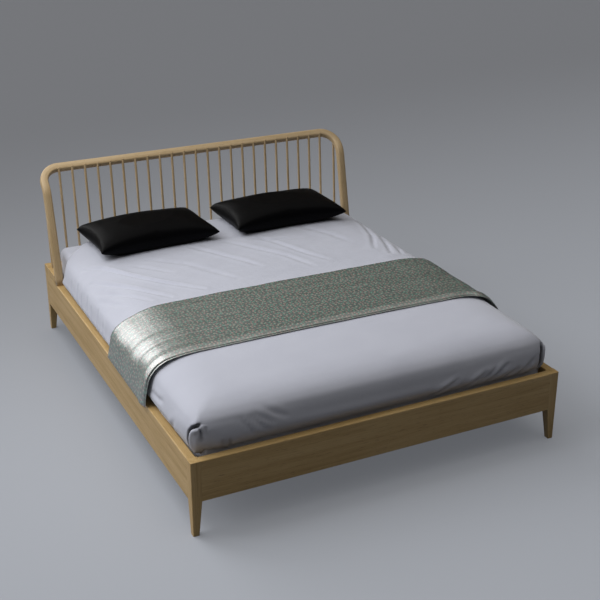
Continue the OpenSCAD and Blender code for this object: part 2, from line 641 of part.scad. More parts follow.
cross_rail(-1);  // foot_rail
cross_rail(1);  // back_rail
side_rail(-1);  // side_rail_left
side_rail(1);  // side_rail_right
post(-1, -1);  // post_foot_left
post(1, -1);  // post_foot_right
post(-1, 1);  // post_head_left
post(1, 1);  // post_head_right
headboard_board();
headboard_return(-1);  // headboard_return_left
headboard_return(1);  // headboard_return_right
headboard_hoop();
slat_ledge(-1);  // slat_ledge_left
slat_ledge(1);  // slat_ledge_right
centre_beam();
centre_leg(-1);  // centre_leg_foot
centre_leg(1);  // centre_leg_head
beam_hanger(-1);  // beam_hanger_foot
beam_hanger(1);  // beam_hanger_head
slats();
corner_block(-1, -1);  // corner_block_foot_left
corner_block(1, -1);  // corner_block_foot_right
corner_block(-1, 1);  // corner_block_head_left
corner_block(1, 1);  // corner_block_head_right
dowels();
corner_bolts();
wood_screws();
mattress();
duvet();
runner();
pillow(-1, [-4.5, 0], 3);  // pillow_left
pillow(1, [-4.5, 5], 1);  // pillow_right
for (i = [0 : len(spindle_names) - 1])
    spindle(i);
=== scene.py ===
import math
import bpy
import bmesh
import numpy as np
from mathutils import Matrix, Vector, noise
from mathutils.bvhtree import BVHTree


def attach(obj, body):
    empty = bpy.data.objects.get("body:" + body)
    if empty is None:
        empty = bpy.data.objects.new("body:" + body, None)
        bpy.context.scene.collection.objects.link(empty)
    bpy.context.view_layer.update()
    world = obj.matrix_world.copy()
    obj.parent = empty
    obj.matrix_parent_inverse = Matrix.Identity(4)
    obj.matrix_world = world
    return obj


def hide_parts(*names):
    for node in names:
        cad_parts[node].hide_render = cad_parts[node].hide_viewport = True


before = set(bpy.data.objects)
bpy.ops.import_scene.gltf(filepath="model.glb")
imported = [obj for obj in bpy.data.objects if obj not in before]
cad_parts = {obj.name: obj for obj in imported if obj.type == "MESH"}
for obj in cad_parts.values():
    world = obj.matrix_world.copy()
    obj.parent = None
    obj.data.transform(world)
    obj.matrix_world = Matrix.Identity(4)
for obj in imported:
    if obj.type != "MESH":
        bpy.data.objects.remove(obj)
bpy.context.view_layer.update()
print("frame loaded")

scene = bpy.context.scene
scene.view_settings.view_transform = "Standard"

# Camera: the photo's viewpoint, fitted to the posts, rails and hoop
viewpoint = {
    "place": (-2.0982, -4.5632, 2.6184),
    "downTilt": 23.68,     # degrees below the horizon
    "turn": -25.99,        # degrees from +Y, clockwise is negative
    "roll": 0.05,
    "lens": 68.3,          # mm on a 36 mm wide film
}

# Each far softbox: the way to it, how many degrees it is across, and its power
farLamps = {
    "leftSoftbox": ((-0.84, 0.24, 0.48), 40, 0.88),
    "backSoftbox": ((-0.32, 0.80, 0.50), 40, 1.05),
}
dome = {"colour": "#E6E3DD", "power": 1.21, "fall": 4.0}       # brightest straight above, dark at the horizon
# One large softbox hangs over the bed's left side
overhead = {"place": (-1.55, 0.10, 2.55), "aim": (-0.1, 0.0, 0.4), "width": 1.5, "power": 26}


def hexColour(text):
    channels = [int(text[i:i + 2], 16) / 255 for i in (1, 3, 5)]
    return tuple(c / 12.92 if c <= 0.04045 else ((c + 0.055) / 1.055) ** 2.4 for c in channels) + (1.0,)


def addNode(tree, kind, values=None, links=None, **settings):
    node = tree.nodes.new(kind)
    for name, value in settings.items():
        setattr(node, name, value)
    for socket, value in (values or {}).items():
        node.inputs[socket].default_value = value
    for socket, source in (links or {}).items():
        tree.links.new(source, node.inputs[socket])
    return node


def clamped(value):
    return max(0.0, min(1.0, value))


def newMaterial(name, sockets):
    material = bpy.data.materials.new(name)
    material.use_nodes = True
    tree = material.node_tree
    tree.nodes.clear()
    shader = addNode(tree, "ShaderNodeBsdfPrincipled", values=sockets)
    output = addNode(tree, "ShaderNodeOutputMaterial")
    tree.links.new(shader.outputs[0], output.inputs["Surface"])
    return material, tree, shader


# Wood
# Light oak, planed and oiled: straight fibres, short dark pores, soft wavy growth rings
oakFinish = {
    "pale": "#C4A672", "mid": "#B99A65", "dark": "#A4854F", "pore": "#80633B",
    "rings": 5.0, "ringShare": 0.18, "streakShare": 0.34, "fibreShare": 0.48,
    "ringAcross": 7.0, "streakAcross": 62.0, "fibreAcross": 520.0,   # patterns per metre across the grain
    "poreAcross": 420.0, "poreAlong": 26.0, "poreLevel": 0.655, "poreShare": 0.55,
    "roughness": 0.43, "bump": 0.00025, "arris": 0.003,
}
# Painted sheen: the hoop's and the spindles' oak is a little paler and greyer, for the soft gloss that light gives them
sheenPaleOakFinish = dict(oakFinish, pale="#D1B892", mid="#C5AB83", dark="#B2976D", pore="#93774F")
# Beech, sanded and unfinished: even and pinkish, with a fine fleck
beechFinish = dict(oakFinish, pale="#D2BA96", mid="#C8AD87", dark="#B8997A", pore="#A98862", rings=3.0,
                   ringShare=0.2, roughness=0.62)


def makeWood(name, finish, grain, seed, space="Object"):
    material, tree, shader = newMaterial(name, {"Roughness": finish["roughness"], "IOR": 1.5})
    source = addNode(tree, "ShaderNodeTexCoord").outputs["Object"] if space == "Object" \
        else addNode(tree, "ShaderNodeUVMap", uv_map="grain").outputs["UV"]
    turned = {"x": (0, 0, 0), "y": (0, 0, -math.pi / 2), "z": (0, math.pi / 2, 0)}[grain]
    cutFrom = (seed * 1.37, seed * 0.71, seed * 2.13)       # each piece is cut from another part of the tree
    along = addNode(tree, "ShaderNodeMapping", values={"Rotation": turned, "Location": cutFrom},
                    links={"Vector": source})

    def stretched(lengthwise, across, detail, distortion=0.0):
        scaled = addNode(tree, "ShaderNodeMapping", values={"Scale": (lengthwise, across, across)},
                         links={"Vector": along.outputs["Vector"]})
        pattern = addNode(tree, "ShaderNodeTexNoise", values={"Scale": 1.0, "Detail": detail, "Distortion": distortion},
                          links={"Vector": scaled.outputs["Vector"]})
        return pattern.outputs["Fac"]

    figure = stretched(0.8, finish["ringAcross"], 1.5, 0.12)
    turns = addNode(tree, "ShaderNodeMath", operation="MULTIPLY", values={1: finish["rings"] * 6.283},
                    links={0: figure})
    rings = addNode(tree, "ShaderNodeMath", operation="SINE", links={0: turns.outputs[0]})
    rings = addNode(tree, "ShaderNodeMapRange", values={"From Min": -1.0, "From Max": 1.0},
                    links={"Value": rings.outputs[0]})
    streak = stretched(1.6, finish["streakAcross"], 4.0, 0.2)
    streak = addNode(tree, "ShaderNodeMapRange", values={"From Min": 0.32, "From Max": 0.68}, links={"Value": streak})
    fibre = stretched(7.0, finish["fibreAcross"], 3.0)
    fibre = addNode(tree, "ShaderNodeMapRange", values={"From Min": 0.3, "From Max": 0.7}, links={"Value": fibre})
    total = addNode(tree, "ShaderNodeMath", operation="MULTIPLY", values={1: finish["ringShare"]},
                    links={0: rings.outputs[0]})
    for share, pattern in (("streakShare", streak), ("fibreShare", fibre)):
        total = addNode(tree, "ShaderNodeMath", operation="MULTIPLY_ADD", values={1: finish[share]},
                        links={0: pattern.outputs[0], 2: total.outputs[0]})
    ramp = addNode(tree, "ShaderNodeValToRGB", links={"Fac": total.outputs[0]})
    stops = ramp.color_ramp.elements
    stops[0].position, stops[0].color = 0.12, hexColour(finish["dark"])
    stops[1].position, stops[1].color = 0.85, hexColour(finish["pale"])
    stops.new(0.48).color = hexColour(finish["mid"])
    pores = stretched(finish["poreAlong"], finish["poreAcross"], 1.0)
    pores = addNode(tree, "ShaderNodeMapRange", links={"Value": pores},
                    values={"From Min": finish["poreLevel"], "From Max": finish["poreLevel"] + 0.05})
    poreShare = addNode(tree, "ShaderNodeMath", operation="MULTIPLY", values={1: finish["poreShare"]},
                        links={0: pores.outputs[0]})
    colour = addNode(tree, "ShaderNodeMix", data_type="RGBA", values={"B": hexColour(finish["pore"])},
                     links={"A": ramp.outputs["Color"], "Factor": poreShare.outputs[0]})
    tree.links.new(colour.outputs["Result"], shader.inputs["Base Color"])
    height = addNode(tree, "ShaderNodeMath", operation="SUBTRACT", links={0: fibre.outputs[0], 1: pores.outputs[0]})
    # Each arris is eased a little, which catches the light along the edges
    eased = addNode(tree, "ShaderNodeBevel", samples=6, values={"Radius": finish["arris"]})
    bump = addNode(tree, "ShaderNodeBump", values={"Strength": 0.6, "Distance": finish["bump"]},
                   links={"Height": height.outputs[0], "Normal": eased.outputs["Normal"]})
    tree.links.new(bump.outputs["Normal"], shader.inputs["Normal"])
    # Pale early wood is smoother than the dark bands
    rough = addNode(tree, "ShaderNodeMapRange", links={"Value": total.outputs[0]},
                    values={"To Min": finish["roughness"] + 0.1, "To Max": finish["roughness"] - 0.06})
    tree.links.new(rough.outputs[0], shader.inputs["Roughness"])
    return material


# Zinc-plated steel for the beam's hangers, bolts and screws: a faint mottle of 4 mm crystals
def makeSteel():
    material, tree, shader = newMaterial("zincSteel", {"Metallic": 1.0, "Roughness": 0.4})
    source = addNode(tree, "ShaderNodeTexCoord").outputs["Object"]
    spangle = addNode(tree, "ShaderNodeTexVoronoi", values={"Scale": 260.0}, links={"Vector": source})
    tone = addNode(tree, "ShaderNodeMix", data_type="RGBA", links={"Factor": spangle.outputs["Distance"]},
                   values={"A": hexColour("#B4B7B9"), "B": hexColour("#8F9294")})
    tree.links.new(tone.outputs["Result"], shader.inputs["Base Color"])
    rough = addNode(tree, "ShaderNodeMapRange", values={"To Min": 0.34, "To Max": 0.5},
                    links={"Value": spangle.outputs["Distance"]})
    tree.links.new(rough.outputs[0], shader.inputs["Roughness"])
    return material


# Cloth
# Percale cotton: plain weave, matt, faintly cool white. Threads are 0.3 mm apart, drawn at 1.6 mm.
# The tuck colour is painted shade for the depth of the corner tucks
cottonFinish = {"face": "#C2C5D2", "shade": "#B8BBC9", "paintedTuckShade": "#303136",
                "thread": 0.0016, "weaveBump": 0.00012, "crumple": 0.0016}
# Brocade runner: shiny grey-green ground with soft streaks along it, and pink and teal dots, each about 19 mm apart.
# Threads are 0.4 mm apart, drawn at 2.2 mm.
runnerFinish = {"ground": "#3A5149", "deep": "#2A3E38", "pink": "#AC877F", "teal": "#569C87",
                "dotEvery": 0.0190, "dotSize": 0.27, "dotEdge": 0.12, "dotBump": 0.0005,
                "thread": 0.0022, "weaveBump": 0.00015, "ripple": 0.009}
# Polyester satin, black: smooth floats that give a soft wide gloss. Threads are 0.2 mm apart, drawn at 1.4 mm.
satinFinish = {"face": "#08080A", "shade": "#040405", "thread": 0.0014, "weaveBump": 0.00008}


def weaveHeight(tree, source, thread):
    # A wave texture repeats every 1 / (3.2 * Scale), so this draws one wave for each thread
    across, down = [addNode(tree, "ShaderNodeTexWave", wave_type="BANDS", bands_direction=way, links={"Vector": source},
                            values={"Scale": 1 / thread / 3.2, "Distortion": 0.4}) for way in "XY"]
    return addNode(tree, "ShaderNodeMath", operation="MULTIPLY",
                   links={0: across.outputs["Fac"], 1: down.outputs["Fac"]}).outputs[0]


def makeCotton():
    material, tree, shader = newMaterial("percaleCotton", {"Roughness": 0.82, "Specular IOR Level": 0.25,
                                                           "Sheen Weight": 0.25, "Sheen Roughness": 0.5})
    source = addNode(tree, "ShaderNodeUVMap", uv_map="cloth").outputs["UV"]
    tone = addNode(tree, "ShaderNodeTexNoise", values={"Scale": 5.0, "Detail": 4.0}, links={"Vector": source})
    colour = addNode(tree, "ShaderNodeMix", data_type="RGBA",
                     values={"A": hexColour(cottonFinish["shade"]), "B": hexColour(cottonFinish["face"])},
                     links={"Factor": tone.outputs["Fac"]})
    # Painted shade: deep in a corner tuck the cloth faces itself and gets little light, so its colour is darkened there
    tuck = addNode(tree, "ShaderNodeAttribute", attribute_name="tuck")
    colour = addNode(tree, "ShaderNodeMix", data_type="RGBA", values={"B": hexColour(cottonFinish["paintedTuckShade"])},
                     links={"Factor": tuck.outputs["Fac"], "A": colour.outputs["Result"]})
    tree.links.new(colour.outputs["Result"], shader.inputs["Base Color"])
    crumple = addNode(tree, "ShaderNodeTexNoise", links={"Vector": source},
                      values={"Scale": 16.0, "Detail": 5.0, "Roughness": 0.55, "Distortion": 0.9})
    soft = addNode(tree, "ShaderNodeBump", values={"Strength": 0.5, "Distance": cottonFinish["crumple"]},
                   links={"Height": crumple.outputs["Fac"]})
    fine = addNode(tree, "ShaderNodeBump", values={"Strength": 0.5, "Distance": cottonFinish["weaveBump"]},
                   links={"Height": weaveHeight(tree, source, cottonFinish["thread"]),
                          "Normal": soft.outputs["Normal"]})
    tree.links.new(fine.outputs["Normal"], shader.inputs["Normal"])
    return material


def makeRunnerCloth():
    finish = runnerFinish
    material, tree, shader = newMaterial("runnerBrocade", {"Roughness": 0.41, "IOR": 2.6, "Specular IOR Level": 1.0})
    source = addNode(tree, "ShaderNodeUVMap", uv_map="cloth").outputs["UV"]
    patch = addNode(tree, "ShaderNodeTexNoise", values={"Scale": 14.0, "Detail": 4.0}, links={"Vector": source})
    colour = addNode(tree, "ShaderNodeMix", data_type="RGBA", links={"Factor": patch.outputs["Fac"]},
                     values={"A": hexColour(finish["deep"]), "B": hexColour(finish["ground"])})
    # The pink dots lie over the teal ones, whose pattern is shifted and turned
    for tint, shift, turn, randomness in (("teal", (0.37, 0.11, 0.0), 0.6, 0.8), ("pink", (0.0, 0.0, 0.0), 0.0, 0.6)):
        placed = addNode(tree, "ShaderNodeMapping", values={"Location": shift, "Rotation": (0, 0, turn)},
                         links={"Vector": source})
        dots = addNode(tree, "ShaderNodeTexVoronoi", voronoi_dimensions="2D",
                       values={"Scale": 1 / finish["dotEvery"], "Randomness": randomness},
                       links={"Vector": placed.outputs["Vector"]})
        inDot = addNode(tree, "ShaderNodeMapRange", links={"Value": dots.outputs["Distance"]},
                        values={"From Min": finish["dotSize"], "From Max": finish["dotSize"] - finish["dotEdge"]})
        colour = addNode(tree, "ShaderNodeMix", data_type="RGBA", values={"B": hexColour(finish[tint])},
                         links={"Factor": inDot.outputs[0], "A": colour.outputs["Result"]})
    tree.links.new(colour.outputs["Result"], shader.inputs["Base Color"])
    # Long soft ripples run with the runner's length
    long = addNode(tree, "ShaderNodeMapping", values={"Scale": (0.9, 15.0, 1.0)}, links={"Vector": source})
    ripple = addNode(tree, "ShaderNodeTexNoise", values={"Scale": 1.0, "Detail": 3.0, "Distortion": 0.3},
                     links={"Vector": long.outputs["Vector"]})
    soft = addNode(tree, "ShaderNodeBump", values={"Strength": 1.0, "Distance": finish["ripple"]},
                   links={"Height": ripple.outputs["Fac"]})
    raised = addNode(tree, "ShaderNodeBump", values={"Strength": 0.4, "Distance": finish["dotBump"]},
                     links={"Height": inDot.outputs[0], "Normal": soft.outputs["Normal"]})
    fine = addNode(tree, "ShaderNodeBump", values={"Strength": 0.4, "Distance": finish["weaveBump"]},
                   links={"Height": weaveHeight(tree, source, finish["thread"]), "Normal": raised.outputs["Normal"]})
    tree.links.new(fine.outputs["Normal"], shader.inputs["Normal"])
    return material


def makeSatin():
    material, tree, shader = newMaterial("blackSatin", {"Roughness": 0.44, "IOR": 1.14})
    source = addNode(tree, "ShaderNodeUVMap", uv_map="cloth").outputs["UV"]
    tone = addNode(tree, "ShaderNodeTexNoise", values={"Scale": 7.0, "Detail": 3.0}, links={"Vector": source})
    colour = addNode(tree, "ShaderNodeMix", data_type="RGBA",
                     values={"A": hexColour(satinFinish["shade"]), "B": hexColour(satinFinish["face"])},
                     links={"Factor": tone.outputs["Fac"]})
    tree.links.new(colour.outputs["Result"], shader.inputs["Base Color"])
    fine = addNode(tree, "ShaderNodeBump", values={"Strength": 0.5, "Distance": satinFinish["weaveBump"]},
                   links={"Height": weaveHeight(tree, source, satinFinish["thread"])})
    tree.links.new(fine.outputs["Normal"], shader.inputs["Normal"])
    return material


cotton = makeCotton()
runnerCloth = makeRunnerCloth()
satin = makeSatin()
zincSteel = makeSteel()
print("materials made")


# The frame keeps its solids. Each piece has its grain's way and its own number, so that no two look alike
woodOf = {
    "foot_rail": ("x", 1), "back_rail": ("x", 2), "headboard_board": ("x", 3),
    "side_rail_left": ("y", 4), "side_rail_right": ("y", 5),
    "headboard_return_left": ("y", 6), "headboard_return_right": ("y", 7),
    "post_foot_left": ("z", 8), "post_foot_right": ("z", 9), "post_head_left": ("z", 10), "post_head_right": ("z", 11),
}
baseWoodOf = {"slats": "x", "dowels": "z", "centre_leg_foot": "z", "centre_leg_head": "z"}       # the rest runs along y
# The spindles take the oak with the painted sheen
spindleOak = makeWood("oakSpindles", sheenPaleOakFinish, "z", 12)
baseWood = {grain: makeWood("beech" + grain.upper(), beechFinish, grain, 20 + n) for n, grain in enumerate("xyz")}


def dress(node, material):
    node.data.materials.clear()
    node.data.materials.append(material)


for name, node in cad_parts.items():
    if name in woodOf:
        grain, seed = woodOf[name]
        dress(node, makeWood("oak_" + name, oakFinish, grain, seed))
    elif name.startswith("spindle"):
        dress(node, spindleOak)
    elif name in baseWoodOf or name.startswith(("corner_block", "slat_ledge", "centre_beam")):
        dress(node, baseWood[baseWoodOf.get(name, "y")])
    elif name.startswith(("beam_hanger", "corner_bolts", "wood_screws")):
        dress(node, zincSteel)
print("frame dressed")


def finishMesh(bm, name, material, smooth=True):
    mesh = bpy.data.meshes.new(name)
    bm.to_mesh(mesh)
    bm.free()
    piece = bpy.data.objects.new(name, mesh)
    scene.collection.objects.link(piece)
    mesh.materials.append(material)
    if smooth:
        mesh.polygons.foreach_set("use_smooth", [True] * len(mesh.polygons))
    return piece


def ofKind(made, kind):
    return [part for part in made if isinstance(part, kind)]


def faceUp(bm):
    bmesh.ops.recalc_face_normals(bm, faces=bm.faces)
    if sum(f.normal.z for f in bm.faces) < 0:
        bmesh.ops.reverse_faces(bm, faces=bm.faces)


def applied(piece):
    bpy.context.view_layer.update()
    made = bpy.data.meshes.new_from_object(piece.evaluated_get(bpy.context.evaluated_depsgraph_get()))
    made.polygons.foreach_set("use_smooth", [True] * len(made.polygons))
    piece.modifiers.clear()
    piece.data = made


def addCollider(piece, gap):
    piece.modifiers.new("collision", "COLLISION")
    piece.collision.thickness_outer = gap
    piece.collision.cloth_friction = 15


def simulate(piece, frames, gravity=1.0, pinGroup=None, slackGroup=None, slack=0.0, pressure=0.0, tension=25.0,
             bending=2.0, mass=0.25, gap=0.003, collide=True):
    cloth = piece.modifiers.new("cloth", "CLOTH")
    settings = cloth.settings
    settings.quality = 6
    settings.mass = mass
    settings.tension_stiffness = settings.compression_stiffness = tension
    settings.shear_stiffness = tension / 3
    settings.bending_stiffness = bending
    settings.tension_damping = settings.compression_damping = settings.shear_damping = 8
    settings.bending_damping = 1
    settings.air_damping = 3
    settings.effector_weights.gravity = gravity
    if pinGroup:
        settings.vertex_group_mass = pinGroup
        settings.pin_stiffness = 4
    if slackGroup:
        settings.vertex_group_shrink = slackGroup
        settings.shrink_min = 0
        settings.shrink_max = -slack
    if pressure:
        settings.use_pressure = True
        settings.uniform_pressure_force = pressure
    cloth.collision_settings.use_collision = collide
    cloth.collision_settings.distance_min = gap
    cloth.collision_settings.collision_quality = 3
    cloth.point_cache.frame_start, cloth.point_cache.frame_end = 1, frames
    for step in range(1, frames + 1):
        scene.frame_set(step)
    applied(piece)
    scene.frame_set(1)


def keepOut(piece, move):
    mesh = piece.data
    co = np.empty(len(mesh.vertices) * 3)
    mesh.vertices.foreach_get("co", co)
    co = move(co.reshape(-1, 3))
    mesh.vertices.foreach_set("co", co.ravel())
    mesh.update()


# Steam-bent oak with the grain running round it
hoopForm = {
    "width": 0.040, "depth": 0.036, "edge": 0.009, "edgeSteps": 3, "meanRadius": 0.022, "footCut": 0.012,
    "halfWidth": 0.860, "railTop": 0.330, "rise": 0.575, "footFront": 0.833,
    "legLean": 12.0, "topLean": 50.0, "curve": 0.090, "bend": 0.088, "link": 0.006,
    "legSteps": 14, "curveSteps": 10, "bendSteps": 16, "barSteps": 24,
}


def hoopPath(form):
    leg, top = math.radians(form["legLean"]), math.radians(form["topLean"])
    x = form["halfWidth"] - form["width"] / 2
    y = form["footFront"] + form["depth"] / 2 / math.cos(leg)
    curveUp = form["curve"] * (math.sin(top) - math.sin(leg))
    curveBack = form["curve"] * (math.cos(leg) - math.cos(top))
    overCurve = form["link"] + form["bend"] + form["width"] / 2
    length = (form["rise"] - curveUp - overCurve * math.cos(top)) / math.cos(leg)
    start = form["railTop"]
    side = []           # (x, y, z, lean, share of the corner turned)
    for i in range(form["legSteps"]):
        s = length * i / form["legSteps"]
        side.append((x, y + s * math.sin(leg), start + s * math.cos(leg), leg, 0.0))
    legEnd = (y + length * math.sin(leg), start + length * math.cos(leg))
    for i in range(form["curveSteps"]):
        a = leg + (top - leg) * i / form["curveSteps"]
        side.append((x, legEnd[0] + form["curve"] * (math.cos(leg) - math.cos(a)),
                     legEnd[1] + form["curve"] * (math.sin(a) - math.sin(leg)), a, 0.0))
    bendY = legEnd[0] + curveBack + form["link"] * math.sin(top)
    bendZ = legEnd[1] + curveUp + form["link"] * math.cos(top)
    for i in range(form["bendSteps"] + 1):
        a = math.pi / 2 * i / form["bendSteps"]
        inward, up = form["bend"] * (1 - math.cos(a)), form["bend"] * math.sin(a)
        side.append((x - inward, bendY + up * math.sin(top), bendZ + up * math.cos(top), top, a))
    return side


def makeHoop(form):
    side = hoopPath(form)
    half, y, z, lean, turn = side[-1]
    bar = [(half - 2 * half * i / form["barSteps"], y, z, lean, turn) for i in range(1, form["barSteps"])]
    back = [(-x, y, z, lean, math.pi - turn) for x, y, z, lean, turn in reversed(side)]
    path = side + bar + back
    bm = bmesh.new()
    bmesh.ops.create_grid(bm, x_segments=1, y_segments=1, size=0.5)
    bmesh.ops.scale(bm, vec=(form["width"], form["depth"], 1), verts=bm.verts)
    bmesh.ops.bevel(bm, geom=list(bm.verts), offset=form["edge"], segments=form["edgeSteps"], profile=0.5,
                    affect="VERTICES", material=-1)
    edges = [e for e in bm.edges if e.is_boundary]

    def placed(station):
        x, y, z, lean, turn = station
        return Matrix.Translation((x, y, z)) @ Matrix.Rotation(-lean, 4, "X") @ Matrix.Rotation(-turn, 4, "Y")

    for v in bm.verts:
        v.co = placed(path[0]) @ v.co
    grainLayer = bm.loops.layers.uv.new("grain")
    distance = [0.0]
    for a, b in zip(path, path[1:]):
        distance.append(distance[-1] + (Vector(b[:3]) - Vector(a[:3])).length)
    for last, station in zip(path, path[1:]):
        made = bmesh.ops.extrude_edge_only(bm, edges=edges)["geom"]
        fresh = set(ofKind(made, bmesh.types.BMVert))
        edges = [e for e in ofKind(made, bmesh.types.BMEdge) if all(v in fresh for v in e.verts)]
        before, here = placed(last).inverted(), placed(station)
        for v in fresh:
            v.co = here @ (before @ v.co)
    bmesh.ops.contextual_create(bm, geom=edges)
    bmesh.ops.recalc_face_normals(bm, faces=bm.faces)
    # Grain runs with the path: u is the distance along it, v the distance round the section
    points = np.array([p[:3] for p in path])
    for face in bm.faces:
        for loop in face.loops:
            gaps = ((points - np.array(loop.vert.co)) ** 2).sum(1)
            near = int(gaps.argmin())
            local = placed(path[near]).inverted() @ loop.vert.co
            loop[grainLayer].uv = (distance[near] + local.z, math.atan2(local.y, local.x) * form["meanRadius"])
    # The feet are cut level with the rail's top
    lean = math.tan(math.radians(form["legLean"]))
    for v in bm.verts:
        if abs(v.co.z - form["railTop"]) < form["footCut"]:
            v.co.y += (form["railTop"] - v.co.z) * lean
            v.co.z = form["railTop"]
    # The hoop takes the oak with the painted sheen
    return finishMesh(bm, "hoop", makeWood("oakHoop", sheenPaleOakFinish, "x", 13, "UV"))


hoop = makeHoop(hoopForm)
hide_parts("headboard_hoop")
print("hoop made")


mattressForm = {
    "half": (0.800, 1.0, 0.125), "centre": (0.0, -0.028, 0.365), "round": 0.034, "cuts": 44,
    # How far it lies below the cover, and up to which y and from which height it is pressed in
    "under": 0.014, "pressedTo": 0.76, "pressedFrom": 0.34,
}


def makeMattress(form):
    bm = bmesh.new()
    bmesh.ops.create_cube(bm, size=2)
    bmesh.ops.scale(bm, vec=form["half"], verts=bm.verts)
    bmesh.ops.bevel(bm, geom=list(bm.edges), offset=form["round"], segments=5, profile=0.5, affect="EDGES", material=-1)
    long = [e for e in bm.edges if e.calc_length() > 0.3]
    bmesh.ops.subdivide_edges(bm, edges=long, cuts=form["cuts"], use_grid_fill=True)
    clothLayer = bm.loops.layers.uv.new("cloth")
    for v in bm.verts:
        # The fitted sheet is drawn tight over the top and ripples a little down the ends
        down = clamped((0.09 - v.co.z) / 0.15)
        ripple = noise.noise(Vector((v.co.x * 9, v.co.y * 9, 1.7))) * 0.003 * down
        v.co.xy = v.co.xy * (1 - abs(ripple) / 0.8)
    for face in bm.faces:
        for loop in face.loops:
            co = loop.vert.co
            loop[clothLayer].uv = (co.x + co.z, co.y + co.z)
    bmesh.ops.translate(bm, vec=form["centre"], verts=bm.verts)
    bmesh.ops.recalc_face_normals(bm, faces=bm.faces)
    return finishMesh(bm, "mattressSheet", cotton)


mattress = makeMattress(mattressForm)
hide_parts("mattress")
print("mattress made")


footRail = -1.075       # the foot rail's outer face, from which the cloths' lengths are measured
duvetForm = {
    "cell": 0.0145,
    "coreHalf": 0.620, "footCore": 0.255,       # the flat top: half its width, and where it starts
    "crown": 0.531, "crownX": (0.0, 0.335, 0.620), "crownDip": (0.0, 0.001, 0.0045),
    "footDipAt": (0.0, 0.08, 0.16, 0.28), "footDip": (0.0065, 0.003, 0.001, 0.0),
    "headX": (0.0, 0.560, 0.620), "headY": (1.990, 1.990, 1.984),
    # From the top's edge to the hem: how far out, how high at the sides and at the foot, and where the head end is
    "reach": (0.0, 0.040, 0.080, 0.115, 0.145, 0.170, 0.188, 0.202, 0.211,
              0.216, 0.2175, 0.2165, 0.213, 0.207, 0.200, 0.199, 0.199),
    "height": (0.5265, 0.5235, 0.518, 0.5105, 0.5015, 0.4905, 0.478, 0.461, 0.442,
               0.420, 0.397, 0.374, 0.354, 0.338, 0.328, 0.312, 0.296),
    "footHeight": (0.5245, 0.5225, 0.5185, 0.5125, 0.504, 0.493, 0.481, 0.4655, 0.448,
                   0.427, 0.403, 0.380, 0.359, 0.342, 0.328, 0.312, 0.296),
    "headEnd": (1.984, 1.976, 1.958, 1.930, 1.905, 1.880, 1.862, 1.848, 1.840,
                1.838, 1.843, 1.852, 1.860, 1.868, 1.876, 1.882, 1.885),
    "cornerSpread": 0.25, "cornerSquare": (3.0, 8.0),     # the corner is round at the top and squarer by the rail
    # Each shoulder's drop, the y where it is most and how far it goes, and the reach at which shoulders drop
    "leftSag": (0.016, 0.02, 0.45), "rightSag": (-0.011, -0.30, 0.30), "shoulder": (0.165, 0.060),
    "thickness": 0.022, "frames": 16, "slack": 0.02, "coreInset": 0.006, "pinnedRows": 5,
}
# Where the cover may be: under the pillows, inside the rails, and over them up to its bulging sides
duvetRoom = {"top": 0.5355, "railTop": 0.334, "insideRail": 0.8195, "side": 0.845,
             "insideFoot": -1.0355, "foot": -1.052, "head": 0.93}
# Folds: a line of points, how deep it is and half its width, in metres. On the top the points are in x and y,
# on the foot face in x and z, and on the sides in y and z.
topFolds = [
    (((-0.780, 0.600), (-0.711, 0.529), (-0.627, 0.366), (-0.512, 0.212), (-0.360, 0.039)), 0.0105, 0.010),
    (((-0.785, 0.428), (-0.716, 0.297), (-0.639, 0.179), (-0.530, 0.025)), 0.0090, 0.010),
    (((-0.794, 0.316), (-0.720, 0.184), (-0.627, 0.024)), 0.0055, 0.010),
    (((-0.803, 0.236), (-0.731, 0.051)), 0.0050, 0.010),
    (((-0.221, 0.575), (-0.143, 0.451), (-0.039, 0.266), (-0.004, 0.185)), 0.0055, 0.012),
    (((-0.024, 0.561), (0.088, 0.390), (0.174, 0.253), (0.233, 0.073)), 0.0060, 0.013),
    (((0.155, 0.539), (0.212, 0.416), (0.278, 0.239), (0.332, 0.123)), 0.0060, 0.012),
    (((0.123, 0.532), (0.214, 0.481), (0.346, 0.455)), 0.0045, 0.013),
    (((0.792, 0.603), (0.720, 0.352), (0.625, 0.157)), 0.0065, 0.011),
    (((0.773, 0.359), (0.720, 0.193), (0.669, 0.061)), 0.0065, 0.010),
    (((0.775, 0.195), (0.722, 0.045)), 0.0055, 0.009),
    (((-0.47, 0.50), (-0.33, 0.38), (-0.20, 0.18)), 0.0035, 0.014),
    (((0.42, 0.62), (0.52, 0.42), (0.55, 0.30)), 0.0035, 0.016),
    (((-0.56, 0.46), (-0.42, 0.30)), 0.0035, 0.011),
    (((-0.30, 0.30), (-0.16, 0.08)), 0.0030, 0.013),
]
footFolds = [
    (((-0.691, 0.385), (-0.667, 0.326)), 0.0110, 0.006),
    (((-0.704, 0.396), (-0.713, 0.340)), 0.0093, 0.006),
    (((-0.627, 0.447), (-0.597, 0.404), (-0.575, 0.371)), 0.0068, 0.007),
    (((-0.592, 0.446), (-0.539, 0.398), (-0.518, 0.377)), 0.0068, 0.007),
    (((-0.570, 0.451), (-0.497, 0.403)), 0.0051, 0.008),
    (((-0.539, 0.480), (-0.494, 0.444), (-0.439, 0.414)), 0.0051, 0.009),
    (((0.215, 0.336), (0.269, 0.355), (0.351, 0.390)), 0.0102, 0.008),
    (((0.386, 0.336), (0.436, 0.362), (0.501, 0.396)), 0.0119, 0.008),
    (((0.445, 0.345), (0.500, 0.374), (0.545, 0.404)), 0.0093, 0.007),
    (((0.511, 0.350), (0.566, 0.384), (0.607, 0.410)), 0.0110, 0.008),
    (((0.593, 0.342), (0.662, 0.380)), 0.0093, 0.007),
    (((0.680, 0.342), (0.745, 0.400)), 0.0093, 0.008),
]
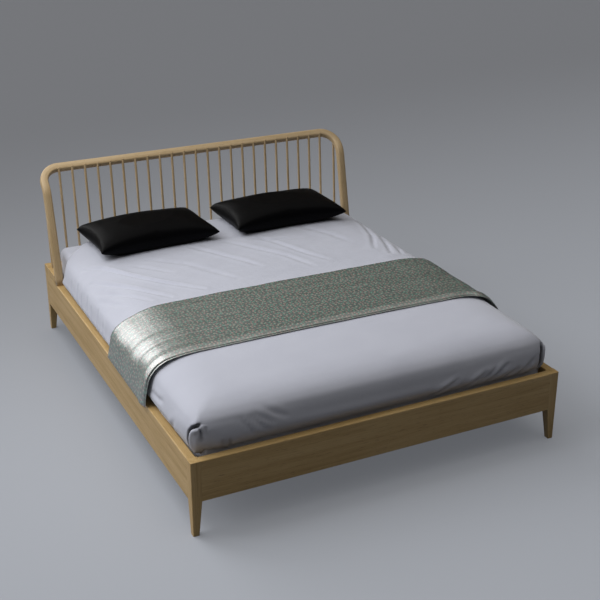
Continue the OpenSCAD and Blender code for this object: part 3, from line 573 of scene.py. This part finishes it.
sideFolds = [
    (((0.63, 0.425), (0.58, 0.340)), 0.0055, 0.009),
    (((0.53, 0.440), (0.47, 0.340)), 0.0065, 0.009),
    (((0.45, 0.420), (0.40, 0.340)), 0.0060, 0.008),
    (((0.37, 0.440), (0.31, 0.340)), 0.0065, 0.009),
    (((0.29, 0.420), (0.24, 0.340)), 0.0060, 0.008),
    (((0.20, 0.440), (0.14, 0.340)), 0.0065, 0.009),
    (((0.10, 0.415), (0.05, 0.340)), 0.0055, 0.008),
    (((-0.590, 0.403), (-0.662, 0.404), (-0.719, 0.415)), 0.0060, 0.009),
    (((-0.606, 0.348), (-0.688, 0.356), (-0.780, 0.366)), 0.0060, 0.008),
    (((-0.80, 0.338), (-0.86, 0.400)), 0.0050, 0.009),
]
# The cover is tucked in at each foot corner, which leaves a curved slit with a small roll beside it.
# Each line has its points, how deep it is, half its width and how far the cloth swells beside it.
cornerTucks = {
    "left": {"middle": (-0.806, -1.022, 0.392), "lines": [
        (((-0.796, -1.020, 0.456), (-0.806, -1.012, 0.448), (-0.820, -0.998, 0.437), (-0.829, -0.990, 0.420),
          (-0.833, -0.986, 0.400), (-0.831, -0.984, 0.375), (-0.825, -0.986, 0.352), (-0.812, -0.992, 0.331),
          (-0.798, -1.004, 0.320)), 0.020, 0.0066, 0.0080),
        (((-0.800, -1.020, 0.446), (-0.793, -1.027, 0.420), (-0.795, -1.026, 0.385)), 0.009, 0.0032, 0.002),
        (((-0.772, -1.026, 0.440), (-0.768, -1.034, 0.410)), 0.004, 0.0040, 0.001)]},
    "right": {"middle": (0.812, -1.016, 0.400), "lines": [
        (((0.800, -1.014, 0.454), (0.796, -1.024, 0.434), (0.790, -1.030, 0.407), (0.789, -1.030, 0.372),
          (0.785, -1.030, 0.338)), 0.020, 0.0062, 0.006)]},
}


def lineAt(x, xs, ys):
    return float(np.interp(x, xs, ys))


def makeDuvetSurface(form):
    lengths = np.concatenate([[0], np.cumsum(np.hypot(np.diff(form["reach"]), np.diff(form["height"])))])
    rows = int(round(lengths[-1] / form["cell"]))
    nx = int(round(2 * form["coreHalf"] / form["cell"]))
    ny = int(round((form["headY"][0] - form["footCore"]) / form["cell"]))
    foot = footRail + form["footCore"]

    def headY(x):
        return footRail + lineAt(abs(x), form["headX"], form["headY"])

    def coreHeight(x, y):
        crown = form["crown"] - lineAt(abs(x), form["crownX"], form["crownDip"])
        return crown - lineAt(y - foot, form["footDipAt"], form["footDip"])

    bm = bmesh.new()
    bmesh.ops.create_grid(bm, x_segments=nx, y_segments=ny, size=0.5)
    flat = bm.verts.layers.float_vector.new("flat")
    for v in bm.verts:
        x = v.co.x * 2 * form["coreHalf"]
        y = foot + (v.co.y + 0.5) * (headY(x) - foot)
        v.co = (x, y, coreHeight(x, y))
        v[flat] = (x, y, 0)
    # The edge that hangs: left side, foot and right side
    hair = 1e-5
    border = [e for e in bm.edges if e.is_boundary and not all(abs(v.co.y - headY(v.co.x)) < hair for v in e.verts)]
    base = {}
    for e in border:
        for v in e.verts:
            sideways = abs(v.co.x) > form["coreHalf"] - hair
            footwards = v.co.y < foot + hair
            toCorner = (v.co.y - foot) if sideways else (form["coreHalf"] - abs(v.co.x))
            turn = 45 * max(0.0, 1 - toCorner / form["cornerSpread"])
            angle = turn if sideways and not footwards else 90 - turn if footwards and not sideways else 45
            share = (v.co.y - foot) / (headY(v.co.x) - foot) if sideways else 0.0
            base[v] = (v.co.copy(), angle, share)
    for row in range(1, rows + 1):
        w = lengths[-1] * row / rows
        reach, sideHeight, footHeight, headEnd = [lineAt(w, lengths, form[line])
                                                  for line in ("reach", "height", "footHeight", "headEnd")]
        topSquare, hemSquare = form["cornerSquare"]
        square = topSquare + (hemSquare - topSquare) * min(1.0, 1.5 * row / rows)
        made = bmesh.ops.extrude_edge_only(bm, edges=border)["geom"]
        fresh = set(ofKind(made, bmesh.types.BMVert))
        base.update({n: base[next(e.other_vert(n) for e in n.link_edges if e.other_vert(n) in base)] for n in fresh})
        border = [e for e in ofKind(made, bmesh.types.BMEdge) if all(v in fresh for v in e.verts)]
        for n in fresh:
            start, angle, share = base[n]
            cos, sin = math.cos(math.radians(angle)), math.sin(math.radians(angle))
            spread = (cos ** square + sin ** square) ** (-1 / square)
            out = Vector((math.copysign(cos, start.x), -sin, 0))
            co = start + out * reach * spread
            co.y += share * (footRail + headEnd - headY(start.x))
            footwards = 0.5 - 0.5 * math.cos(math.radians(2 * angle))
            topEdge = form["height"][0] * (1 - footwards) + form["footHeight"][0] * footwards
            co.z = sideHeight * (1 - footwards) + footHeight * footwards + (start.z - topEdge) * (1 - row / rows) ** 2
            if footwards < 0.5:
                sag, middle, far = form["leftSag" if start.x < 0 else "rightSag"]
                at, wide = form["shoulder"]
                co.z -= sag * math.exp(-((co.y - middle) / far) ** 2) * math.exp(-((reach - at) / wide) ** 2)
            n.co = co
            n[flat] = (start.x + out.x * w, start.y + out.y * w, row)
    faceUp(bm)
    clothLayer = bm.loops.layers.uv.new("cloth")
    for face in bm.faces:
        for loop in face.loops:
            loop[clothLayer].uv = loop.vert[flat].xy
    return bm, rows, flat


def foldHeight(folds, a, b):
    total = 0.0
    for line, deep, width in folds:
        if not (min(p[0] for p in line) - 5 * width < a < max(p[0] for p in line) + 5 * width
                and min(p[1] for p in line) - 5 * width < b < max(p[1] for p in line) + 5 * width):
            continue
        here = Vector((a, b))
        best, along = 1.0, 0.0
        for i, (start, end) in enumerate(zip(line, line[1:])):
            start, end = Vector(start), Vector(end)
            t = clamped((here - start).dot(end - start) / (end - start).length_squared)
            gap = (here - start.lerp(end, t)).length
            if gap < best:
                best, along = gap, (i + t) / (len(line) - 1)
        ends = math.sin(math.pi * (along * 0.9 + 0.05)) ** 0.7
        # A fold is a narrow valley between two soft ridges
        ridge = 0.5 * math.exp(-((best - 2.1 * width) / (1.4 * width)) ** 2)
        total += deep * ends * (ridge - math.exp(-(best / width) ** 2))
    return total


def refine(bm, faces, smooth):
    edges = list({e for f in faces for e in f.edges})
    bmesh.ops.subdivide_edges(bm, edges=edges, cuts=1, use_grid_fill=True, smooth=smooth)


# Where the folds lie: heights and y for the top's, y for the foot's and x for the sides' folds.
# Slight creases run all over the cover, deeper on the head half.
foldPlaces = {"finerBelow": 0.475, "finerAcross": (-0.08, 0.66), "topAbove": 0.46, "topFrom": -0.2, "footTo": -0.92,
              "sideFrom": 0.76, "headFrom": -0.1, "headCrease": 0.0018, "footCrease": 0.0008}


def layFolds(bm):
    places = foldPlaces
    start, end = places["finerAcross"]
    refine(bm, [f for f in bm.faces if f.calc_center_median().z < places["finerBelow"]
                or start < f.calc_center_median().y < end], 0.5)
    bm.normal_update()
    moves = {}
    for v in bm.verts:
        x, y, z = v.co
        sideways, footwards = abs(v.normal.x), max(0.0, -v.normal.y)
        onTop = z > places["topAbove"] and y > places["topFrom"]
        up = foldHeight(topFolds, x, y) * max(0.0, v.normal.z) if onTop else 0.0
        up += foldHeight(footFolds, x, z) * footwards if y < places["footTo"] else 0.0
        up += foldHeight(sideFolds, y, z) * sideways if abs(x) > places["sideFrom"] else 0.0
        crease = places["headCrease" if y > places["headFrom"] else "footCrease"]
        moves[v] = up + noise.noise(Vector((x * 7 + y * 3, y * 16 - x * 4, 3.1 + z * 6))) * crease
    for v, up in moves.items():
        v.co += v.normal * up


# How far round its middle a tuck reaches, where the mesh is refined for it, and from which depth a line's painted shade
# is full
tuckForm = {"area": 0.11, "finerArea": 0.12, "finerBeside": (0.045, 0.028), "paintedShadeFrom": 0.018}


def tuckCorner(bm, tuck, form):
    middle = Vector(tuck["middle"])
    tree = BVHTree.FromBMesh(bm)
    paintedTuckShade = bm.verts.layers.float.get("tuck") or bm.verts.layers.float.new("tuck")
    lines = []
    for points, deep, width, swell in tuck["lines"]:
        points = [Vector(p) for p in points]
        onCloth = [tree.find_nearest(a.lerp(b, i / 6))[0] for a, b in zip(points, points[1:]) for i in range(6)]
        lines.append((onCloth, deep, width, swell))
    slit = lines[0][0]
    for reach in form["finerBeside"]:
        refine(bm, [f for f in bm.faces if (f.calc_center_median() - middle).length < form["finerArea"]
                    and min((f.calc_center_median() - p).length for p in slit) < reach], 0.3)
    bm.normal_update()
    moves = {}
    for v in bm.verts:
        if (v.co - middle).length < form["area"]:
            out = 0.0
            for onCloth, deep, width, swell in lines:
                gap, at = min(((v.co - p).length, i) for i, p in enumerate(onCloth))
                inside = (v.co - onCloth[at]).dot(middle - onCloth[at]) > 0
                ends = min(1.0, (at + 2) / 6, (len(onCloth) + 1 - at) / 6)
                out -= deep * ends * math.exp(-(gap / width) ** 4)
                # The slit's depth is darkened in colour: painted shade, kept in the tuck attribute
                dark = min(1.0, deep / form["paintedShadeFrom"]) * ends * math.exp(-(gap / width / 1.4) ** 4)
                v[paintedTuckShade] = max(v[paintedTuckShade], dark)
                out += swell * ends * (1.0 if inside else 0.1) * math.exp(-((gap - 2.4 * width) / (1.5 * width)) ** 2)
            moves[v] = out
    for v, out in moves.items():
        v.co += v.normal * out


def makeDuvet(form):
    bm, rows, flat = makeDuvetSurface(form)
    inner = bm.copy()
    pins = bm.verts.layers.deform.verify()
    for v in bm.verts:
        row = v[flat].z
        v[pins][0] = clamped((row - (rows - form["pinnedRows"])) / 3) if row > 0 else 0.0
        headwards = clamped((v.co.y + 0.15) / 0.6)
        v[pins][1] = 0.25 + 0.75 * max(headwards, 0.5 if row > 2 else 0.0)
    duvet = finishMesh(bm, "duvetCover", cotton)
    duvet.vertex_groups.new(name="hem")
    duvet.vertex_groups.new(name="slack")
    core = finishMesh(inner, "duvetCore", cotton)
    shrink = core.modifiers.new("in", "DISPLACE")
    shrink.strength, shrink.mid_level = -form["coreInset"], 0.0
    applied(core)
    addCollider(core, 0.002)
    simulate(duvet, form["frames"], gravity=0.7, pinGroup="hem", slackGroup="slack", slack=form["slack"],
             tension=20, bending=4, gap=0.002)
    bpy.data.objects.remove(core)
    bm = bmesh.new()
    bm.from_mesh(duvet.data)
    layFolds(bm)
    for tuck in cornerTucks.values():
        tuckCorner(bm, tuck, tuckForm)
    bm.to_mesh(duvet.data)
    bm.free()
    return duvet


def holdDuvet(co):
    # The cover stays clear of the rails, of the boards at the head and of the pillows
    co[:, 2] = np.minimum(co[:, 2], duvetRoom["top"])
    betweenRails = co[:, 2] < duvetRoom["railTop"]
    reach = np.where(betweenRails, duvetRoom["insideRail"], duvetRoom["side"])
    co[:, 0] = np.clip(co[:, 0], -reach, reach)
    co[:, 1] = np.clip(co[:, 1], np.where(betweenRails, duvetRoom["insideFoot"], duvetRoom["foot"]), duvetRoom["head"])
    return co


duvet = makeDuvet(duvetForm)
keepOut(duvet, holdDuvet)
duvetTop = duvet.copy()
duvetTop.data = duvet.data.copy()


def pressUnder(co):
    # The mattress's edges are soft, and the cover that is tucked over them presses them in
    form = mattressForm
    cover = BVHTree.FromPolygons([v.co for v in duvetTop.data.vertices], [p.vertices for p in duvetTop.data.polygons])
    for i, place in enumerate(co):
        if place[1] < form["pressedTo"] and place[2] > form["pressedFrom"]:
            spot, normal, _, _ = cover.find_nearest(Vector(place))
            if (Vector(place) - spot).dot(normal) > -form["under"]:
                co[i] = spot - normal * form["under"]
    return co


keepOut(mattress, pressUnder)
wall = duvet.modifiers.new("wall", "SOLIDIFY")
wall.thickness, wall.offset = duvetForm["thickness"], -1
wall.use_even_offset = False
applied(duvet)
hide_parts("duvet")
print("duvet made")


# The front and the rear edge each have their own line from the hem to the middle: x and height
runnerForm = {
    "near": 0.512, "far": 1.020,       # from the foot rail's face
    "cell": 0.011,
    "frontLine": ((0.8695, 0.3305), (0.8655, 0.350), (0.861, 0.369), (0.854, 0.392), (0.848, 0.415), (0.8425, 0.437),
                  (0.835, 0.457), (0.8195, 0.480), (0.7965, 0.498), (0.767, 0.511), (0.723, 0.5205), (0.679, 0.5265),
                  (0.634, 0.5305), (0.335, 0.5350), (0.0, 0.5355)),
    "rearLine": ((0.8655, 0.3305), (0.860, 0.350), (0.854, 0.372), (0.849, 0.397), (0.8445, 0.420), (0.8345, 0.441),
                 (0.818, 0.459), (0.793, 0.476), (0.767, 0.488), (0.729, 0.500), (0.697, 0.510), (0.655, 0.518),
                 (0.615, 0.523), (0.335, 0.5335), (0.0, 0.5355)),
    "rightLift": 0.008, "rightSlant": 0.055, "leftSlant": 0.014,      # the ends run a little towards the foot
    "hang": 0.16, "flute": 0.0035,                  # the hanging part's height, and how far its soft waves stand out
    "layer": 0.0045, "peek": 0.009,                 # between the two layers, and how far the lower one shows
    "swell": 0.0055, "swellAt": 0.040, "roll": 0.011, "cloth": 0.0014,
    "simulatedTo": 0.76, "blend": 0.20, "frames": 14,               # the x up to which the simulated form counts
}


def makeRunner(form):
    # On the right both edges keep the front edge's line, a little fuller
    right = [(x, z + form["rightLift"] * math.exp(-((x - 0.785) / 0.05) ** 2))
             for x, z in reversed(form["frontLine"][:-1])]
    front, rear = [np.array([(-x, z) for x, z in form[way]] + right) for way in ("frontLine", "rearLine")]
    arc = np.concatenate([[0], np.cumsum(np.hypot(*np.diff(front, axis=0).T))])
    width = form["far"] - form["near"]
    nearY = footRail + form["near"]
    nx, ny = int(round(arc[-1] / form["cell"])), int(round(width / form["cell"]))

    def rightSlant(x):
        return form["rightSlant"] * clamped((x - 0.70) / 0.13) ** 1.5

    bm = bmesh.new()
    bmesh.ops.create_grid(bm, x_segments=nx, y_segments=ny, size=0.5)
    clothLayer = bm.loops.layers.uv.new("cloth")
    for face in bm.faces:
        for loop in face.loops:
            loop[clothLayer].uv = ((loop.vert.co.x + 0.5) * arc[-1], loop.vert.co.y * width)
    pins = bm.verts.layers.deform.verify()
    for v in bm.verts:
        s = (v.co.x + 0.5) * arc[-1]
        toHem = min(s, arc[-1] - s)
        across = v.co.y + 0.5
        section = front * (1 - across) + rear * across
        x, z = lineAt(s, arc, section[:, 0]), lineAt(s, arc, section[:, 1])
        y = nearY + across * width
        y -= form["leftSlant"] * max(0.0, 1 - toHem / 0.25) if x < 0 else rightSlant(x)
        v[pins][0] = clamped(1.6 - toHem / 0.02)
        down = min(1.0, toHem / form["hang"])
        x += math.copysign(form["flute"] * math.sin(math.pi * down) * (1 + math.sin(across * 17 + 0.8)), x)
        z += 0.003 * noise.noise(Vector((x * 3, y * 9, 5.0))) * down + 0.003 * min(1.0, toHem / 0.05)
        v.co = (x, y, z)
    faceUp(bm)
    runner = finishMesh(bm, "bedRunner", runnerCloth)
    runner.vertex_groups.new(name="hem")
    laid = [v.co.copy() for v in runner.data.vertices]
    scene.collection.objects.link(duvetTop)
    addCollider(duvetTop, 0.002)
    simulate(runner, form["frames"], gravity=1.0, pinGroup="hem", tension=30, bending=1.5, mass=0.4, gap=0.003)
    bpy.data.objects.remove(duvetTop)
    # The hanging ends keep the line measured from the photo
    for v, co in zip(runner.data.vertices, laid):
        ease = clamped((form["simulatedTo"] - abs(co.x)) / form["blend"])
        v.co = co.lerp(v.co, ease * ease * (3 - 2 * ease))
    # Folded double: the lower layer lies under the upper one and peeks out along the open edge
    bm = bmesh.new()
    bm.from_mesh(runner.data)
    bm.normal_update()
    made = bmesh.ops.duplicate(bm, geom=list(bm.verts) + list(bm.edges) + list(bm.faces))["geom"]
    lower = set(ofKind(made, bmesh.types.BMVert))
    for v in bm.verts:
        if v in lower:
            v.co.y -= form["peek"] * clamped(1 - (v.co.y - nearY) / 0.12)
        else:
            # The upper layer swells a little and rolls down at its open front edge
            slant = rightSlant(v.co.x) if v.co.x > 0 else form["leftSlant"] * clamped((-v.co.x - 0.70) / 0.14)
            fromEdge = max(0.0, v.co.y - nearY + slant)
            roll = math.exp(-(fromEdge / form["roll"]) ** 2)
            swell = math.exp(-((fromEdge - form["swellAt"]) / 0.024) ** 2)
            v.co += v.normal * (form["layer"] * (1 - 0.7 * roll) + form["swell"] * swell)
    bmesh.ops.reverse_faces(bm, faces=ofKind(made, bmesh.types.BMFace))
    fold = [e for e in bm.edges if e.is_boundary and all(v.co.y > nearY + width - 0.09 for v in e.verts)
            and abs(e.verts[0].co.y - e.verts[1].co.y) < 0.006]
    bmesh.ops.bridge_loops(bm, edges=fold)
    bm.to_mesh(runner.data)
    bm.free()
    cloth = runner.modifiers.new("cloth", "SOLIDIFY")
    cloth.thickness, cloth.offset, cloth.use_even_offset = form["cloth"], 0, False
    applied(runner)
    return runner, arc[-1]


runner, runnerLength = makeRunner(runnerForm)
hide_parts("runner")
print("runner made")


pillowForm = {
    "width": 0.656, "depth": 0.404, "thick": 0.112, "cell": 0.0085,
    "seam": 0.575, "under": 0.5335,                 # heights of the seam and of the underside
    "drawnInSide": 0.045, "drawnInFront": 0.075, "crown": 0.44,
    "frames": 14, "pressure": 2.0, "slack": 0.05, "mostMove": 0.011,
}
pillowPlaces = {
    "pillowLeft": {"node": "pillow_left", "place": (-0.377, 0.775), "turn": 3.0, "seed": 2.0},
    "pillowRight": {"node": "pillow_right", "place": (0.368, 0.780), "turn": 1.0, "seed": 7.0},
}


def makePillow(name, spot, form):
    nx, ny = int(form["width"] / form["cell"]), int(form["depth"] / form["cell"])
    bm = bmesh.new()
    bmesh.ops.create_grid(bm, x_segments=nx, y_segments=ny, size=0.5)
    clothLayer = bm.loops.layers.uv.new("cloth")
    for face in bm.faces:
        for loop in face.loops:
            loop[clothLayer].uv = (loop.vert.co.x * form["width"], loop.vert.co.y * form["depth"])
    made = bmesh.ops.duplicate(bm, geom=list(bm.verts) + list(bm.edges) + list(bm.faces))["geom"]
    under = set(ofKind(made, bmesh.types.BMVert))
    bmesh.ops.reverse_faces(bm, faces=ofKind(made, bmesh.types.BMFace))
    low = form["seam"] - form["under"]
    for v in bm.verts:
        u, w = v.co.x * 2, v.co.y * 2
        crown = max(0.0, (1 - u * u) * (1 - w * w)) ** form["crown"]
        lump = 1 + 0.10 * noise.noise(Vector((u * 1.7, w * 1.7, spot["seed"])))
        x = form["width"] / 2 * u * (1 - form["drawnInSide"] * (1 - w * w))
        y = form["depth"] / 2 * w * (1 - form["drawnInFront"] * (1 - u * u))
        # The upper side is full and a little lumpy, and the underside is pressed flat
        z = -min(low, crown * low * 1.5) if v in under else crown * (form["thick"] - low) * lump
        v.co = (x, y, z)
    bmesh.ops.remove_doubles(bm, verts=bm.verts, dist=1e-5)
    bmesh.ops.recalc_face_normals(bm, faces=bm.faces)
    pillow = finishMesh(bm, name, satin)
    start = np.array([v.co[:] for v in pillow.data.vertices])
    pillow.vertex_groups.new(name="slack").add(list(range(len(start))), 1.0, "REPLACE")
    simulate(pillow, form["frames"], gravity=0.0, pressure=form["pressure"], slackGroup="slack",
             slack=form["slack"], tension=12, bending=0.15, mass=0.3, collide=False)

    def capped(co):
        # The filling lets the cover puff out only so far
        move = co - start
        move -= move.mean(0)
        far = np.linalg.norm(move, axis=1, keepdims=True)
        most = form["mostMove"]
        return start + move * np.minimum(1, most * np.tanh(far / most) / np.maximum(far, 1e-6))

    keepOut(pillow, capped)
    smooth = pillow.modifiers.new("smooth", "SUBSURF")
    smooth.levels = smooth.render_levels = 1
    applied(pillow)
    turn = math.radians(spot["turn"])

    def settle(co):
        # The pillow keeps its measured size, and its underside lies flat on the duvet
        co[:, 0] = np.clip(co[:, 0], -form["width"] / 2, form["width"] / 2)
        co[:, 1] = np.clip(co[:, 1], -form["depth"] / 2, form["depth"] / 2)
        co[:, 2] = np.clip(co[:, 2], -low, form["thick"] - low + 0.003)
        x = co[:, 0] * math.cos(turn) - co[:, 1] * math.sin(turn) + spot["place"][0]
        y = co[:, 0] * math.sin(turn) + co[:, 1] * math.cos(turn) + spot["place"][1]
        return np.stack([x, y, co[:, 2] + form["seam"]], 1)

    keepOut(pillow, settle)
    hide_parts(spot["node"])
    return pillow


pillows = [makePillow(name, spot, pillowForm) for name, spot in pillowPlaces.items()]
print("pillows made")

for piece in [hoop, mattress, duvet, runner] + pillows:
    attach(piece, "root")


# Pale studio floor that darkens away from the camera
floorForm = {
    "turn": -4, "near": -2.6, "far": 5.5,       # degrees that the fade is turned from +Y, and where it starts and ends
    "nearColour": "#9CA0A8", "farColour": "#74767B", "bounceColour": "#72757A", "glow": 0.34,
}


def makeFloor():
    bm = bmesh.new()
    bmesh.ops.create_grid(bm, x_segments=2, y_segments=2, size=60)
    material, tree, shader = newMaterial("studioFloor", {"Roughness": 0.9, "Specular IOR Level": 0.1})
    source = addNode(tree, "ShaderNodeTexCoord").outputs["Object"]
    away = addNode(tree, "ShaderNodeMapping", values={"Rotation": (0, 0, math.radians(floorForm["turn"]))},
                   links={"Vector": source})
    split = addNode(tree, "ShaderNodeSeparateXYZ", links={"Vector": away.outputs["Vector"]})
    fade = addNode(tree, "ShaderNodeMapRange", interpolation_type="SMOOTHSTEP", links={"Value": split.outputs["Y"]},
                   values={"From Min": floorForm["near"], "From Max": floorForm["far"]})
    colour = addNode(tree, "ShaderNodeMix", data_type="RGBA", links={"Factor": fade.outputs[0]},
                     values={"A": hexColour(floorForm["nearColour"]), "B": hexColour(floorForm["farColour"])})
    # The camera and mirrors see the floor a little lifted by a painted glow, which also lightens the bed's shadow on
    # it, and it sends less light up at the bed
    path = addNode(tree, "ShaderNodeLightPath")
    seen = addNode(tree, "ShaderNodeMath", operation="MAXIMUM",
                   links={0: path.outputs["Is Camera Ray"], 1: path.outputs["Is Glossy Ray"]})
    toned = addNode(tree, "ShaderNodeMix", data_type="RGBA", values={"A": hexColour(floorForm["bounceColour"])},
                    links={"Factor": seen.outputs[0], "B": colour.outputs["Result"]})
    tree.links.new(toned.outputs["Result"], shader.inputs["Base Color"])
    lifted = addNode(tree, "ShaderNodeMath", operation="MULTIPLY", values={1: floorForm["glow"]},
                     links={0: seen.outputs[0]})
    tree.links.new(colour.outputs["Result"], shader.inputs["Emission Color"])
    tree.links.new(lifted.outputs[0], shader.inputs["Emission Strength"])
    return finishMesh(bm, "studioFloor", material, smooth=False)


floor = makeFloor()


def addLamp(name, kind, wayTo, power):
    lamp = bpy.data.lights.new(name, kind)
    lamp.energy = power
    light = bpy.data.objects.new(name, lamp)
    light.rotation_euler = Vector(wayTo).to_track_quat("Z", "Y").to_euler()
    scene.collection.objects.link(light)
    return light


hung = addLamp("overheadSoftbox", "AREA", Vector(overhead["place"]) - Vector(overhead["aim"]), overhead["power"])
hung.data.shape, hung.data.size = "SQUARE", overhead["width"]
hung.location = overhead["place"]
for name, (wayTo, across, power) in farLamps.items():
    addLamp(name, "SUN", wayTo, power).data.angle = math.radians(across)
world = bpy.data.worlds.new("studioDome")
world.use_nodes = True
sky = world.node_tree
backdrop = sky.nodes["Background"]
backdrop.inputs["Color"].default_value = hexColour(dome["colour"])
skyway = addNode(sky, "ShaderNodeTexCoord").outputs["Generated"]
upward = addNode(sky, "ShaderNodeSeparateXYZ", links={"Vector": skyway})
above = addNode(sky, "ShaderNodeMath", operation="MAXIMUM", values={1: 0.0}, links={0: upward.outputs["Z"]})
glow = addNode(sky, "ShaderNodeMath", operation="POWER", values={1: dome["fall"]}, links={0: above.outputs[0]})
glow = addNode(sky, "ShaderNodeMath", operation="MULTIPLY", values={1: dome["power"]}, links={0: glow.outputs[0]})
sky.links.new(glow.outputs[0], backdrop.inputs["Strength"])
scene.world = world

film = bpy.data.cameras.new("photoCamera")
film.lens, film.sensor_width = viewpoint["lens"], 36
camera = bpy.data.objects.new("photoCamera", film)
camera.location = viewpoint["place"]
camera.rotation_euler = [math.radians(a) for a in (90 - viewpoint["downTilt"], viewpoint["roll"], viewpoint["turn"])]
scene.collection.objects.link(camera)
scene.camera = camera
print("stage set")
